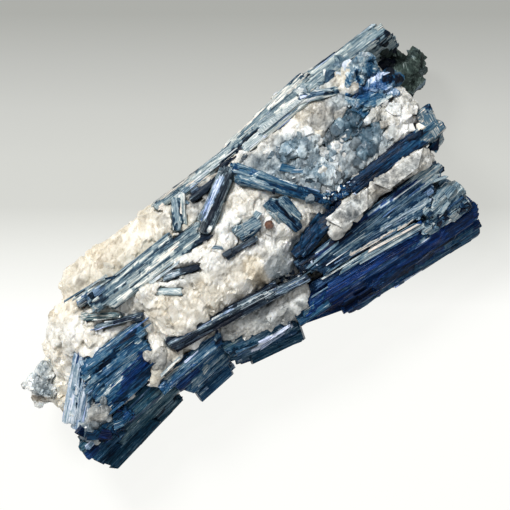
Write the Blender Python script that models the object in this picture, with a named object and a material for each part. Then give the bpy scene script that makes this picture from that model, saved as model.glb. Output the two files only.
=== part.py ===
"""Kyanite blade cluster: sheaves of blue kyanite blades grown through a lump of milky quartz.

The specimen lies on its flat back. Its long axis runs along X, its best face looks up along Z.
Places are written in millimetres on that face, as (x, y, height of the top edge).
Every sheaf is a union of tapered laths. Each solid is cut back a little from the ones it grew
around, so that neighbours touch along a hairline gap.
"""

import math
import random

import bmesh
import bpy
from mathutils import Matrix, Vector

MM = 0.001

# Driving dimensions, in millimetres
GAP = 0.3  # hairline between two crystals that touch
CHAMFER = 0.16  # a lath's chamfered edge, as a share of its thinner side
BREAK = 0.3  # how far a broken end runs out, as a share of the lath's thinner side
SPREAD = 0.05  # how uneven the laths of a fan are, as a share of their length
FACE_CENTRE = (-2.15, -2.45)  # middle of the face's outline, which becomes the origin
BLOCK_CHAMFER = 0.22  # a quartz block's broken edges, as a share of its thinnest side
CUT_MARGIN = 200.0
FLAT_ANGLE = 0.004  # faces this close to one plane, in radians, become one face


# ---- Scene and materials ----------------------------------------------------------------------


def clear_scene():
    for old in list(bpy.data.objects):
        bpy.data.objects.remove(old, do_unlink=True)


def material(name, colour, roughness):
    """A stone finish: its colour, and how glossy its cleavage is."""
    made = bpy.data.materials.new(name)
    made.use_nodes = True
    shader = made.node_tree.nodes["Principled BSDF"]
    shader.inputs["Base Color"].default_value = (*colour, 1.0)
    shader.inputs["Roughness"].default_value = roughness
    shader.inputs["Metallic"].default_value = 0.0
    made.diffuse_color = (*colour, 1.0)
    return made


clear_scene()

QUARTZ = material("milky_quartz", (0.78, 0.74, 0.66), 0.45)
NAVY = material("kyanite_navy", (0.02, 0.05, 0.18), 0.25)
BLUE = material("kyanite_blue", (0.08, 0.18, 0.38), 0.28)
GREY_BLUE = material("kyanite_grey_blue", (0.25, 0.35, 0.46), 0.3)
TEAL = material("kyanite_teal", (0.07, 0.16, 0.22), 0.3)
DARK = material("kyanite_dark", (0.03, 0.05, 0.08), 0.3)
SMOKY = material("kyanite_smoky_green", (0.09, 0.12, 0.11), 0.4)
GARNET = material("brown_garnet", (0.2, 0.07, 0.03), 0.3)

cluster = bpy.data.collections.new("kyanite_blade_cluster")
cutters = bpy.data.collections.new("cutters")
bpy.context.scene.collection.children.link(cluster)
bpy.context.scene.collection.children.link(cutters)

specimen = bpy.data.objects.new("specimen", None)
specimen.location = (-FACE_CENTRE[0] * MM, -FACE_CENTRE[1] * MM, 0.0)
cluster.objects.link(specimen)


# ---- Solids -----------------------------------------------------------------------------------


def new_object(name, shape, where):
    mesh = bpy.data.meshes.new(name)
    bmesh.ops.recalc_face_normals(shape, faces=shape.faces)
    shape.to_mesh(mesh)
    shape.free()
    made = bpy.data.objects.new(name, mesh)
    where.objects.link(made)
    made.parent = specimen
    return made


def lath(head, tail, width, depth, roll=0.0, tip=1.0):
    """One blade: head and tail are the ends of its top edge's centre line. tip is how wide the tail is
    as a share of the head, and roll turns the blade about its length, in degrees."""
    return {"head": head, "tail": tail, "width": width, "depth": depth, "roll": roll, "tip": tip}


def between(a, b, share):
    return tuple(p + (q - p) * share for p, q in zip(a, b))


def fan(heads, tails, count, width, depth, rolls=(0.0, 0.0), tip=1.0, seed=1):
    """Blades side by side, from a line of heads to a line of tails, ending unevenly."""
    chance = random.Random(seed)
    blades = []
    for i in range(count):
        share = i / max(count - 1, 1)
        head = between(heads[0], heads[1], share)
        tail = between(tails[0], tails[1], share)
        roll = rolls[0] + (rolls[1] - rolls[0]) * share
        short_head = chance.uniform(0, SPREAD)
        short_tail = chance.uniform(0, SPREAD)
        start = between(head, tail, short_head)
        end = between(tail, head, short_tail)
        blades.append(lath(start, end, width * chance.uniform(0.92, 1.12), depth, roll, tip))
    return blades


def frame_along(head, tail, roll):
    """The axes of a blade from head to tail: its length, its width and its upward side."""
    along = (tail - head).normalized()
    across = Vector((0, 0, 1)).cross(along).normalized()
    across = Matrix.Rotation(-roll, 3, along) @ across
    return along, across, along.cross(across)


def lath_object(name, blade, seed, where, grow=0.0):
    """A box with chamfered long edges, tapered to its tail, with a slanting break at each end."""
    head = Vector(blade["head"]) * MM
    tail = Vector(blade["tail"]) * MM
    along, across, up = frame_along(head, tail, math.radians(blade["roll"]))
    length = (tail - head).length
    width = blade["width"] * MM
    depth = blade["depth"] * MM
    chance = random.Random(seed)
    thin = min(width, depth)
    shape = bmesh.new()
    bmesh.ops.create_cube(shape, size=1.0)
    long_edges = [e for e in shape.edges if abs(e.verts[0].co.x - e.verts[1].co.x) > 0.5]
    slant = min(thin, length * 0.5) * BREAK * 2
    slants = [(chance.uniform(-slant, slant), chance.uniform(-slant, slant)) for _ in range(2)]
    for corner in shape.verts:
        x, y, z = corner.co
        at_tail = x > 0
        share = blade["tip"] if at_tail else 1.0
        across_break, down_break = slants[at_tail]
        run = (length + grow * MM if at_tail else -grow * MM) + y * across_break + z * down_break
        side = y * (width * share + 2 * grow * MM)
        drop = (z - 0.5) * (depth * share + 2 * grow * MM) + grow * MM
        corner.co = head + along * run + across * side + up * drop
    if not grow:
        chamfer = thin * CHAMFER * blade["tip"]
        bmesh.ops.bevel(shape, geom=long_edges, offset=chamfer, segments=1, affect="EDGES")
    bmesh.ops.triangulate(shape, faces=shape.faces)
    return new_object(name, shape, where)


def block_object(name, centre, size, turn, where):
    """A block of quartz: a box with broken-off edges, turned about Z, Y and X, in degrees."""
    shape = bmesh.new()
    bmesh.ops.create_cube(shape, size=1.0)
    bmesh.ops.scale(shape, vec=Vector(size) * MM, verts=shape.verts)
    bmesh.ops.bevel(
        shape, geom=shape.edges[:], offset=min(size) * BLOCK_CHAMFER * MM, segments=1, affect="EDGES"
    )
    for axis, angle in zip("XYZ", reversed(turn)):
        rotation = Matrix.Rotation(math.radians(angle), 3, axis)
        bmesh.ops.rotate(shape, matrix=rotation, verts=shape.verts)
    bmesh.ops.translate(shape, vec=Vector(centre) * MM, verts=shape.verts)
    bmesh.ops.triangulate(shape, faces=shape.faces)
    return new_object(name, shape, where)


def boolean(target, others, operation):
    """Joins or cuts target with all the others at once, and keeps the result as its mesh."""
    group = bpy.data.collections.new("operands")
    for other in others:
        group.objects.link(other)
    cut = target.modifiers.new(operation.lower(), "BOOLEAN")
    cut.operation = operation
    cut.solver = "EXACT"
    cut.operand_type = "COLLECTION"
    cut.collection = group
    graph = bpy.context.evaluated_depsgraph_get()
    result = bpy.data.meshes.new_from_object(target.evaluated_get(graph))
    target.modifiers.clear()
    target.data = result
    bpy.data.collections.remove(group)


def keep_largest_body(target):
    """Drops the crumbs that a cut leaves loose."""
    shape = bmesh.new()
    shape.from_mesh(target.data)
    bmesh.ops.triangulate(shape, faces=shape.faces)
    unseen = set(shape.verts)
    bodies = []
    while unseen:
        body = set()
        edge = [unseen.pop()]
        while edge:
            corner = edge.pop()
            body.add(corner)
            for link in corner.link_edges:
                other = link.other_vert(corner)
                if other in unseen:
                    unseen.discard(other)
                    edge.append(other)
        bodies.append(body)
    bodies.sort(key=bounds_size)
    for body in bodies[:-1]:
        bmesh.ops.delete(shape, geom=list(body), context="VERTS")
    bmesh.ops.dissolve_limit(
        shape, angle_limit=FLAT_ANGLE, verts=shape.verts, edges=shape.edges
    )
    bmesh.ops.triangulate(shape, faces=shape.faces)
    shape.to_mesh(target.data)
    shape.free()


def bounds_size(body):
    spans = [[corner.co[axis] for corner in body] for axis in range(3)]
    return sum(max(span) - min(span) for span in spans)


def hide_cutters():
    for cutter in cutters.objects:
        cutter.hide_render = True
        cutter.display_type = "WIRE"


def finish(made, name, finish_material):
    made.name = name
    made.data.name = name
    made.data.materials.clear()
    made.data.materials.append(finish_material)


def box_of(thing):
    corners = [Vector(corner) for corner in thing.bound_box]
    low = [min(corner[axis] for corner in corners) for axis in range(3)]
    high = [max(corner[axis] for corner in corners) for axis in range(3)]
    return low, high


def meet(one, other):
    low_a, high_a = box_of(one)
    low_b, high_b = box_of(other)
    return all(low_a[axis] < high_b[axis] and low_b[axis] < high_a[axis] for axis in range(3))


grown = []  # every blade made so far, a gap larger than it is


def sheaf(name, finish_material, blades):
    """One crystal group: its blades joined, then cut back from the groups it grew around."""
    first_seed = sum(ord(letter) for letter in name)
    made = [
        lath_object(f"{name}_{i}", blade, first_seed + i, cluster) for i, blade in enumerate(blades)
    ]
    body = made[0]
    if len(made) > 1:
        boolean(body, made[1:], "UNION")
    for extra in made[1:]:
        bpy.data.objects.remove(extra, do_unlink=True)
    touching = [cutter for cutter in grown if meet(body, cutter)]
    if touching:
        boolean(body, touching, "DIFFERENCE")
    boolean(body, [above_ground], "INTERSECT")
    keep_largest_body(body)
    finish(body, name, finish_material)
    for i, blade in enumerate(blades):
        grown.append(lath_object(f"{name}_gap_{i}", blade, first_seed + i, cutters, grow=GAP * 1.2))


bpy.context.view_layer.update()

above_ground = block_object(
    "above_ground", (0, 0, CUT_MARGIN / 2), (CUT_MARGIN, CUT_MARGIN, CUT_MARGIN), (0, 0, 0), cutters
)

# ---- Kyanite on the face, top-most first -------------------------------------------------------

sheaf(
    "cross_blade",
    BLUE,
    [
        lath((7.6, 17.2, 36.0), (20.6, -1.2, 34.6), 4.6, 4.5, 6, 0.45),
        lath((10.4, 13.6, 36.2), (17.0, 3.6, 35.6), 3.4, 3.5, -8, 0.7),
    ],
)
sheaf(
    "branch_blade",
    DARK,
    [
        lath((-7.4, 10.4, 35.4), (7.6, 18.9, 34.6), 2.8, 4.5, 8, 0.9),
        lath((-6.0, 12.2, 34.6), (5.4, 18.9, 34.0), 2.2, 4.0, -12, 0.8),
    ],
)
sheaf("stub_crystal", TEAL, [lath((-1.4, 4.6, 36.0), (4.4, 4.0, 35.6), 4.2, 5.0, 0, 0.8)])
sheaf(
    "twin_stub_crystals",
    TEAL,
    [
        lath((9.8, 5.4, 35.2), (11.4, -3.2, 34.2), 3.0, 5.0, 0, 0.8),
        lath((12.8, 5.0, 35.4), (12.8, -1.8, 34.4), 2.4, 5.0, 0, 0.9),
    ],
)
sheaf("thin_dark_blade", DARK, [lath((-6.8, 2.3, 35.4), (1.8, 1.4, 35.2), 1.4, 3.5)])
sheaf("arched_blade", DARK, [lath((-22.2, 8.0, 34.4), (-13.6, 4.6, 34.6), 2.2, 4.0, 10, 0.6)])
sheaf("pale_blade", GREY_BLUE, [lath((-26.2, 6.6, 33.8), (-20.6, 2.0, 34.4), 2.0, 4.0, 0, 0.8)])
sheaf("green_blade", SMOKY, [lath((-44.2, 12.2, 29.0), (-36.8, 7.4, 31.6), 1.5, 4.0)])
sheaf("dark_needle", DARK, [lath((-43.6, 8.6, 30.0), (-32.2, 3.9, 32.2), 1.3, 4.0)])
sheaf("lilac_blade", GREY_BLUE, [lath((-52.2, 11.2, 24.6), (-46.6, 9.5, 27.0), 1.4, 4.0)])
sheaf(
    "long_dark_blade",
    DARK,
    [
        lath((-32.0, -5.6, 31.8), (-2.0, -11.0, 31.4), 2.0, 8.0, 4),
        lath((-31.0, -7.4, 31.2), (5.6, -14.2, 29.8), 2.0, 8.0, -6),
    ],
)
sheaf(
    "upper_left_sheaf",
    NAVY,
    [
        lath((-43.0, 16.6, 30.6), (-33.0, 15.9, 31.4), 2.4, 7.0, 12),
        lath((-40.0, 14.6, 32.2), (-15.0, 14.2, 33.6), 2.6, 7.0, 8),
        lath((-40.0, 12.6, 32.8), (-7.0, 12.0, 34.2), 2.8, 7.0),
        lath((-37.0, 10.4, 32.8), (-6.4, 9.8, 34.4), 2.6, 7.0, -4),
    ],
)
sheaf(
    "wedge_blade",
    BLUE,
    [
        lath((7.4, -8.0, 32.0), (19.0, -6.6, 32.6), 3.6, 7.0, 0, 0.6),
        lath((10.0, -6.4, 32.6), (22.6, -4.9, 32.8), 2.6, 7.0, 0, 0.5),
    ],
)
sheaf(
    "band_blade",
    NAVY,
    [
        lath((21.0, -2.6, 33.2), (54.0, -3.0, 32.6), 2.4, 8.0, 4),
        lath((27.0, -4.6, 33.0), (55.0, -5.0, 31.8), 2.6, 8.0, -6),
        lath((53.6, 0.8, 31.2), (51.6, -8.0, 29.6), 4.4, 7.0, 0, 0.8),
    ],
)
sheaf(
    "right_upper_sheaf",
    GREY_BLUE,
    fan(
        ((5.0, -11.0, 30.6), (9.0, -15.2, 28.6)),
        ((48.8, -11.6, 30.8), (41.0, -19.0, 27.6)),
        5, 2.6, 14.0, (4, -24), seed=4,
    ),
)
sheaf(
    "right_end_stub",
    GREY_BLUE,
    fan(
        ((38.6, -19.2, 28.2), (36.0, -23.6, 26.0)),
        ((48.6, -18.0, 27.4), (50.4, -24.6, 24.4)),
        3, 3.2, 11.0, (-10, -30), seed=5,
    ),
)
sheaf(
    "right_lower_blade",
    NAVY,
    fan(
        ((-2.6, -19.8, 25.4), (4.0, -23.6, 15.0)),
        ((37.0, -23.6, 25.0), (40.0, -30.4, 15.0)),
        4, 4.2, 13.0, (-18, -46), seed=6,
    )
    + [
        lath((18.0, -26.6, 21.6), (49.2, -27.4, 19.8), 4.2, 13.0, -30),
        lath((9.0, -27.0, 15.0), (47.0, -31.6, 14.0), 4.6, 13.0, -44),
        lath((24.0, -29.8, 10.0), (45.0, -31.8, 9.4), 4.6, 12.0, -60),
    ],
)
sheaf(
    "bottom_blade",
    TEAL,
    fan(
        ((-21.4, -16.6, 25.0), (-20.6, -20.0, 16.0)),
        ((-3.2, -20.4, 23.4), (-4.4, -25.2, 13.0)),
        3, 4.6, 12.0, (-20, -50), seed=7,
    ),
)
sheaf(
    "left_middle_sheaf",
    BLUE,
    fan(
        ((-39.0, -13.4, 27.4), (-34.6, -21.4, 14.0)),
        ((-19.4, -12.6, 27.2), (-22.4, -20.4, 14.0)),
        4, 3.8, 12.0, (-8, -50), seed=8,
    ),
)
sheaf(
    "left_under_blade",
    TEAL,
    fan(
        ((-65.0, -14.8, 22.6), (-62.6, -21.6, 12.0)),
        ((-37.0, -12.6, 24.6), (-39.6, -18.6, 13.0)),
        3, 5.0, 12.0, (-20, -50), seed=9,
    ),
)
sheaf(
    "left_blue_sheaf",
    NAVY,
    fan(
        ((-53.0, 2.2, 29.6), (-57.0, -9.6, 26.2)),
        ((-33.0, 1.6, 30.8), (-39.0, -8.6, 28.4)),
        5, 3.4, 10.0, (10, -16), seed=10,
    ),
)
sheaf(
    "left_silver_sheaf",
    GREY_BLUE,
    fan(
        ((-63.6, -6.0, 22.0), (-62.0, -9.8, 21.0)),
        ((-49.0, 6.4, 28.6), (-52.0, -2.0, 28.6)),
        4, 3.6, 11.0, (14, 0), seed=11,
    ),
)
sheaf("left_nub", NAVY, [lath((-60.4, -13.6, 24.6), (-50.4, -13.4, 26.0), 3.4, 8.0, -10)])
sheaf(
    "corner_chip",
    GREY_BLUE,
    [
        lath((-67.4, 6.6, 19.6), (-59.6, 8.2, 22.6), 4.4, 11.0, 16),
        lath((-67.0, 3.4, 18.6), (-61.6, 3.8, 21.0), 4.6, 11.0),
    ],
)
sheaf(
    "ridge_sheaf",
    GREY_BLUE,
    [
        lath((-13.0, 23.0, 27.4), (18.0, 22.6, 29.0), 2.4, 10.0, 20),
        lath((-6.0, 21.6, 29.4), (34.0, 23.0, 29.4), 2.6, 10.0, 8),
        lath((8.0, 23.4, 24.0), (36.0, 26.4, 22.0), 3.0, 11.0, 38),
        lath((26.0, 26.6, 20.0), (46.0, 25.2, 20.0), 3.0, 11.0, 48),
        lath((30.0, 25.0, 22.0), (57.6, 24.8, 21.0), 3.8, 11.0, 44),
        lath((30.0, 23.0, 28.0), (59.6, 22.8, 26.4), 3.4, 11.0, 22),
    ],
)
sheaf("dark_strip_blade", DARK, [lath((-4.8, 18.8, 32.6), (4.4, 18.4, 33.0), 1.8, 5.0)])
sheaf(
    "fan_blades",
    GREY_BLUE,
    [
        lath((-12.4, 14.8, 33.2), (-7.9, 21.6, 31.8), 2.2, 6.0, 0, 0.7),
        lath((-10.2, 15.4, 32.8), (-6.2, 21.0, 32.2), 2.0, 6.0, 0, 0.7),
    ],
)
sheaf(
    "upper_light_blade",
    GREY_BLUE,
    [
        lath((13.0, 20.4, 31.0), (33.0, 21.0, 31.0), 2.4, 6.0, 6),
        lath((31.6, 21.6, 31.4), (40.4, 17.4, 31.6), 2.0, 6.0),
    ],
)
sheaf(
    "knob_blade",
    NAVY,
    [
        lath((45.2, 16.6, 33.0), (51.2, 21.4, 30.6), 3.8, 8.0, 0),
        lath((48.6, 16.0, 32.0), (51.4, 20.0, 30.0), 2.6, 8.0, 0),
    ],
)
sheaf(
    "royal_blade",
    BLUE,
    [
        lath((40.6, 12.8, 33.4), (54.2, 12.8, 31.6), 5.0, 6.0, 6, 0.8),
        lath((40.0, 9.6, 33.4), (51.0, 9.2, 32.4), 2.8, 6.0, -8),
    ],
)
sheaf(
    "teal_lump",
    TEAL,
    [
        lath((28.0, 7.6, 33.4), (41.0, 11.2, 33.0), 4.6, 7.0, 0),
        lath((34.4, 2.6, 33.4), (43.0, 4.6, 32.8), 4.4, 7.0, 0),
        lath((35.0, 10.4, 32.6), (39.0, 2.6, 32.4), 3.4, 6.0, 0),
    ],
)
sheaf(
    "granular_blue_patch",
    GREY_BLUE,
    [
        lath((19.6, 14.0, 33.8), (28.4, 10.4, 33.8), 4.6, 7.0, 0),
        lath((24.4, 10.6, 33.8), (26.0, 1.4, 33.9), 3.6, 7.0, 0),
        lath((20.6, 6.6, 33.8), (26.8, 0.0, 34.0), 1.8, 5.0, 0),
    ],
)
sheaf(
    "end_back_cluster",
    SMOKY,
    [
        lath((47.0, 17.6, 19.0), (60.0, 18.0, 16.6), 5.0, 11.0, 10),
        lath((47.0, 12.2, 20.0), (63.6, 11.4, 17.0), 5.6, 12.0, 0),
        lath((47.0, 7.6, 19.0), (60.6, 7.8, 15.4), 4.4, 12.0, -8),
    ],
)

# ---- Kyanite on the hidden sides and the back ---------------------------------------------------

sheaf(
    "front_base_sheaf",
    TEAL,
    fan(
        ((-9.0, -19.4, 12.0), (-7.0, -14.6, 7.4)),
        ((42.0, -27.0, 9.6), (44.0, -19.0, 7.4)),
        4, 5.2, 9.0, (-40, 4), seed=20,
    ),
)
sheaf(
    "left_base_sheaf",
    BLUE,
    fan(
        ((-60.0, -12.0, 9.6), (-56.0, -5.6, 8.0)),
        ((-24.0, -17.2, 8.4), (-28.0, -10.6, 6.8)),
        3, 5.2, 9.4, (-30, 0), seed=21,
    ),
)
sheaf(
    "back_base_sheaf",
    GREY_BLUE,
    fan(
        ((-33.0, 22.4, 13.0), (-30.0, 15.6, 8.0)),
        ((20.0, 22.4, 13.6), (26.0, 15.6, 7.6)),
        4, 4.8, 9.6, (44, 6), seed=22,
    ),
)
sheaf(
    "right_base_sheaf",
    NAVY,
    fan(
        ((14.0, 8.0, 6.4), (20.0, -4.0, 6.0)),
        ((55.0, 10.0, 9.0), (54.0, -4.4, 9.0)),
        4, 5.0, 9.4, (10, -10), seed=23,
    ),
)

# ---- Garnet ------------------------------------------------------------------------------------


def garnet(centre, radius):
    """A small twelve-sided grain, set into the quartz."""
    for name, where, size in (
        ("garnet_grain", cluster, radius),
        ("garnet_grain_gap", cutters, radius + GAP * 1.5),
    ):
        shape = bmesh.new()
        bmesh.ops.create_icosphere(shape, subdivisions=1, radius=size * MM)
        bmesh.ops.translate(shape, vec=Vector(centre) * MM, verts=shape.verts)
        made = new_object(name, shape, where)
        if where is cluster:
            finish(made, name, GARNET)
        else:
            grown.append(made)


garnet((6.2, 1.9, 34.6), 1.3)

# ---- Quartz ------------------------------------------------------------------------------------

QUARTZ_BLOCKS = (
    # centre, size, turn about Z, Y and X
    ((-14, 3, 13.0), (86, 32, 32), (1, 0, 0)),
    ((-52, 0, 9.0), (22, 20, 24), (14, -10, 0)),
    ((-55, 5, 10.0), (16, 11, 22), (12, -14, 4)),
    ((-31, 14.6, 13.0), (27, 17, 27), (-2, -4, -6)),
    ((-42, 12.0, 13.0), (12, 14, 25), (24, -8, -4)),
    ((-48, 4.6, 12.0), (17, 10, 25), (16, -10, -2)),
    ((-22, 15.4, 14.0), (26, 16, 27), (4, 2, 4)),
    ((-12, 2.4, 21.0), (42, 24, 26), (2, 0, 3)),
    ((7, 5.0, 20.0), (24, 24, 27), (-8, 3, -2)),
    ((2, 13.4, 17.0), (38, 18, 30), (2, 0, 6)),
    ((31, 7.6, 17.0), (40, 28, 32), (3, 1, 2)),
    ((33, 15.0, 15.4), (36, 18, 30), (2, 2, 8)),
    ((46, 4.0, 20.0), (13, 11, 25), (14, 6, -4)),
    ((25, -7.0, 24.0), (18, 5.6, 19), (9, 0, 0)),
    ((40, -7.6, 24.0), (16, 5.0, 18.6), (-8, 0, 0)),
    ((-8, -14.6, 15.0), (25, 11, 24), (-14, 0, -8)),
    ((-36, -7.6, 21.0), (13, 8, 16), (14, -4, 0)),
    ((-56, -10.2, 17.0), (12, 6, 18), (16, -8, 0)),
    ((22, -8.0, 8.5), (50, 30, 19), (-6, 0, 0)),
    ((-36, -7.0, 7.5), (48, 20, 17), (-2, 0, 0)),
)

quartz_parts = [
    block_object(f"quartz_block_{i}", centre, size, turn, cluster)
    for i, (centre, size, turn) in enumerate(QUARTZ_BLOCKS)
]
quartz = quartz_parts[0]
boolean(quartz, quartz_parts[1:], "UNION")
for part in quartz_parts[1:]:
    bpy.data.objects.remove(part, do_unlink=True)
boolean(quartz, grown, "DIFFERENCE")
boolean(quartz, [above_ground], "INTERSECT")
keep_largest_body(quartz)
finish(quartz, "quartz_matrix", QUARTZ)

hide_cutters()
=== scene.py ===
import math
import random

import bmesh
import bpy
import numpy as np
from mathutils import Matrix, Vector, noise
from mathutils.bvhtree import BVHTree
from mathutils.kdtree import KDTree

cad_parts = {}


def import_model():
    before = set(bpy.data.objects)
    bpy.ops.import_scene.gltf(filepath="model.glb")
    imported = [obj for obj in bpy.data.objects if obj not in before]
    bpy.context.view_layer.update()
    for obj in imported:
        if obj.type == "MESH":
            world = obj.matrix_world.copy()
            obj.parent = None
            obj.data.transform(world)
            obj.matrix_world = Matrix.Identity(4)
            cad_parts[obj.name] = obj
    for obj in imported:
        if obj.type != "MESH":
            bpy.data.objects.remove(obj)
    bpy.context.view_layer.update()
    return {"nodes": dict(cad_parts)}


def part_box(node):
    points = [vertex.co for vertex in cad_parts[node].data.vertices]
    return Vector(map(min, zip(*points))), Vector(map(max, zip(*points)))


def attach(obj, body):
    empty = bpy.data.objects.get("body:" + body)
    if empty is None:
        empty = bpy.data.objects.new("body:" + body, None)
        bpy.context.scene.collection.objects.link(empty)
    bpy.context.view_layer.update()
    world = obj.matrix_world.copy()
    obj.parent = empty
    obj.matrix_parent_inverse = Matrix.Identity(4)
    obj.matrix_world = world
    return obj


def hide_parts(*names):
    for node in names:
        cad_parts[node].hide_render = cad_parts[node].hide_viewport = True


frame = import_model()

MM = 0.001
UP, DOWN = Vector((0, 0, 1)), Vector((0, 0, -1))
FACE_SHIFT = Vector((2.15, 2.45, 0.0))  # from the middle of the face to the origin, in millimetres
HIGH = 60.0  # a height above the whole specimen, in millimetres
PLAIN_TINGE = 0.45  # neither warmed nor turned to royal blue


def at(x, y, z):
    """A place on the face, in millimetres, as a point of the row frame."""
    return (Vector((x, y, z)) + FACE_SHIFT) * MM


def top_of(tree, x, y):
    """The uppermost point of a search tree at a place on the face, if it has one there."""
    return tree.ray_cast(at(x, y, HIGH), DOWN)[0]


def any_way(chance):
    """A vector that points any way."""
    return Vector((chance.gauss(0, 1), chance.gauss(0, 1), chance.gauss(0, 1)))


def drawn_size(chance, smallest, largest):
    """A size in metres between two in millimetres, the small ones more often."""
    return math.exp(chance.uniform(math.log(smallest), math.log(largest))) * MM


# ---- Small tools ------------------------------------------------------------------------------


def deselect():
    if bpy.context.mode != "OBJECT":
        bpy.ops.object.mode_set(mode="OBJECT")
    bpy.ops.object.select_all(action="DESELECT")


def start_edit(piece):
    deselect()
    bpy.context.view_layer.objects.active = piece
    piece.select_set(True)
    bpy.ops.object.mode_set(mode="EDIT")
    bpy.ops.mesh.select_all(action="SELECT")


def break_off(point, away):
    """In edit mode, cuts off all that lies past a plane, and closes the cut."""
    bpy.ops.mesh.select_all(action="SELECT")
    bpy.ops.mesh.bisect(plane_co=point, plane_no=away, use_fill=True, clear_outer=True)


def end_edit():
    bpy.ops.object.mode_set(mode="OBJECT")


def add_object(name, data):
    """Puts new data in the scene as an object of its own."""
    made = bpy.data.objects.new(name, data)
    bpy.context.scene.collection.objects.link(made)
    return made


def join(pieces, name):
    """Joins the pieces in one object at the origin."""
    deselect()
    for piece in pieces:
        piece.select_set(True)
    bpy.context.view_layer.objects.active = pieces[0]
    if len(pieces) > 1:
        bpy.ops.object.join()
    joined = bpy.context.view_layer.objects.active
    joined.name = name
    joined.data.name = name
    return joined


def set_floats(mesh, name, values):
    """Writes one number to each corner of a mesh, as a named attribute."""
    layer = mesh.attributes.get(name) or mesh.attributes.new(name, "FLOAT", "POINT")
    layer.data.foreach_set("value", np.asarray(values, np.float32))


def set_vectors(mesh, name, values):
    layer = mesh.attributes.get(name) or mesh.attributes.new(name, "FLOAT_VECTOR", "POINT")
    layer.data.foreach_set("vector", np.asarray(values, np.float32).ravel())


def set_looks(piece, **looks):
    """Gives each named look of a piece one value all over."""
    for name, value in looks.items():
        set_floats(piece.data, name, np.full(len(piece.data.vertices), value))


def corners(mesh):
    found = np.empty(len(mesh.vertices) * 3, np.float32)
    mesh.vertices.foreach_get("co", found)
    return found.reshape(-1, 3).astype(float)


def put_corners(mesh, places):
    mesh.vertices.foreach_set("co", np.asarray(places, np.float32).ravel())
    mesh.update()


def stand_for(piece, node, finish, slot):
    """Finishes a piece and puts it in a CAD node's place. Nothing reaches below the floor."""
    places = corners(piece.data)
    places[:, 2] = np.maximum(places[:, 2], 0.0)
    put_corners(piece.data, places)
    piece.data.materials.clear()
    piece.data.materials.append(finish)
    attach(piece, "root")
    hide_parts(node)


# ---- Node materials ---------------------------------------------------------------------------


class Shader:
    """A material under construction: adds nodes and links them."""

    def __init__(self, name):
        self.material = bpy.data.materials.new(name)
        self.material.use_nodes = True
        self.tree = self.material.node_tree
        self.surface = self.tree.nodes["Principled BSDF"]

    def add(self, kind, **values):
        made = self.tree.nodes.new(kind)
        for key, value in values.items():
            setattr(made, key, value)
        return made

    def feed(self, node, socket, value):
        if isinstance(value, bpy.types.NodeSocket):
            self.tree.links.new(value, node.inputs[socket])
        else:
            node.inputs[socket].default_value = value

    def fill(self, node, **values):
        """Feeds the sockets with these names, where _ stands for a space."""
        for name, value in values.items():
            self.feed(node, name.replace("_", " "), value)
        return node

    def attribute(self, name, output="Fac"):
        return self.add("ShaderNodeAttribute", attribute_name=name).outputs[output]

    def object_coordinates(self):
        return self.add("ShaderNodeTexCoord").outputs["Object"]

    def stretched(self, vector, scale, shift=(0, 0, 0)):
        mapping = self.add("ShaderNodeMapping")
        return self.fill(mapping, Vector=vector, Scale=scale, Location=shift).outputs["Vector"]

    def noise(self, vector, scale, detail, rough, distortion=0.0, shift=(0, 0, 0)):
        made = self.add("ShaderNodeTexNoise")
        vector = self.stretched(vector, scale, shift)
        self.fill(made, Vector=vector, Scale=1.0, Detail=detail, Roughness=rough, Distortion=distortion)
        return made.outputs["Fac"]

    def maths(self, operation, a, b, clamp=False):
        made = self.add("ShaderNodeMath", operation=operation, use_clamp=clamp)
        self.feed(made, 0, a)
        self.feed(made, 1, b)
        return made.outputs[0]

    def sum(self, *terms):
        """Adds values times their weights; a third number is taken off the value first."""
        total = None
        for value, weight, *middle in terms:
            if middle:
                value = self.maths("SUBTRACT", value, middle[0])
            scaled = self.maths("MULTIPLY", value, weight)
            total = scaled if total is None else self.maths("ADD", total, scaled)
        return total

    def spread(self, value, low, high, to_low=0.0, to_high=1.0):
        made = self.add("ShaderNodeMapRange")
        self.fill(made, Value=value, From_Min=low, From_Max=high, To_Min=to_low, To_Max=to_high)
        return made.outputs["Result"]

    def ramp(self, value, stops):
        made = self.add("ShaderNodeValToRGB")
        self.feed(made, "Fac", value)
        ladder = made.color_ramp.elements
        while len(ladder) < len(stops):
            ladder.new(1.0)
        for rung, (place, colour) in zip(ladder, stops):
            rung.position = place
            rung.color = (*colour, 1.0)
        return made.outputs["Color"]

    def mix(self, share, a, b, blend="MIX"):
        made = self.add("ShaderNodeMix", data_type="RGBA", blend_type=blend)
        self.feed(made, "Factor", share)
        for socket, value in ((6, a), (7, b)):
            self.feed(made, socket, value if isinstance(value, bpy.types.NodeSocket) else (*value, 1.0))
        return made.outputs[2]

    def bump(self, height, strength, distance):
        made = self.add("ShaderNodeBump")
        return self.fill(made, Height=height, Strength=strength, Distance=distance).outputs["Normal"]


# Kyanite colours, from black, used for the painted shade in gaps, to white, used for the painted cleavage glints
BLACK = (0.0015, 0.004, 0.012)
INK = (0.003, 0.017, 0.044)
NAVY = (0.006, 0.038, 0.098)
ROYAL = (0.016, 0.086, 0.182)
STEEL = (0.082, 0.165, 0.238)
GREY_BLUE = (0.235, 0.328, 0.390)
PALE = (0.520, 0.605, 0.635)
WHITE = (0.850, 0.860, 0.840)
PINE = (0.001, 0.018, 0.038)
TEAL = (0.010, 0.061, 0.104)
TEAL_GREY = (0.155, 0.245, 0.275)
OLIVE = (0.034, 0.052, 0.045)
PLUM = (0.016, 0.027, 0.044)


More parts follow.
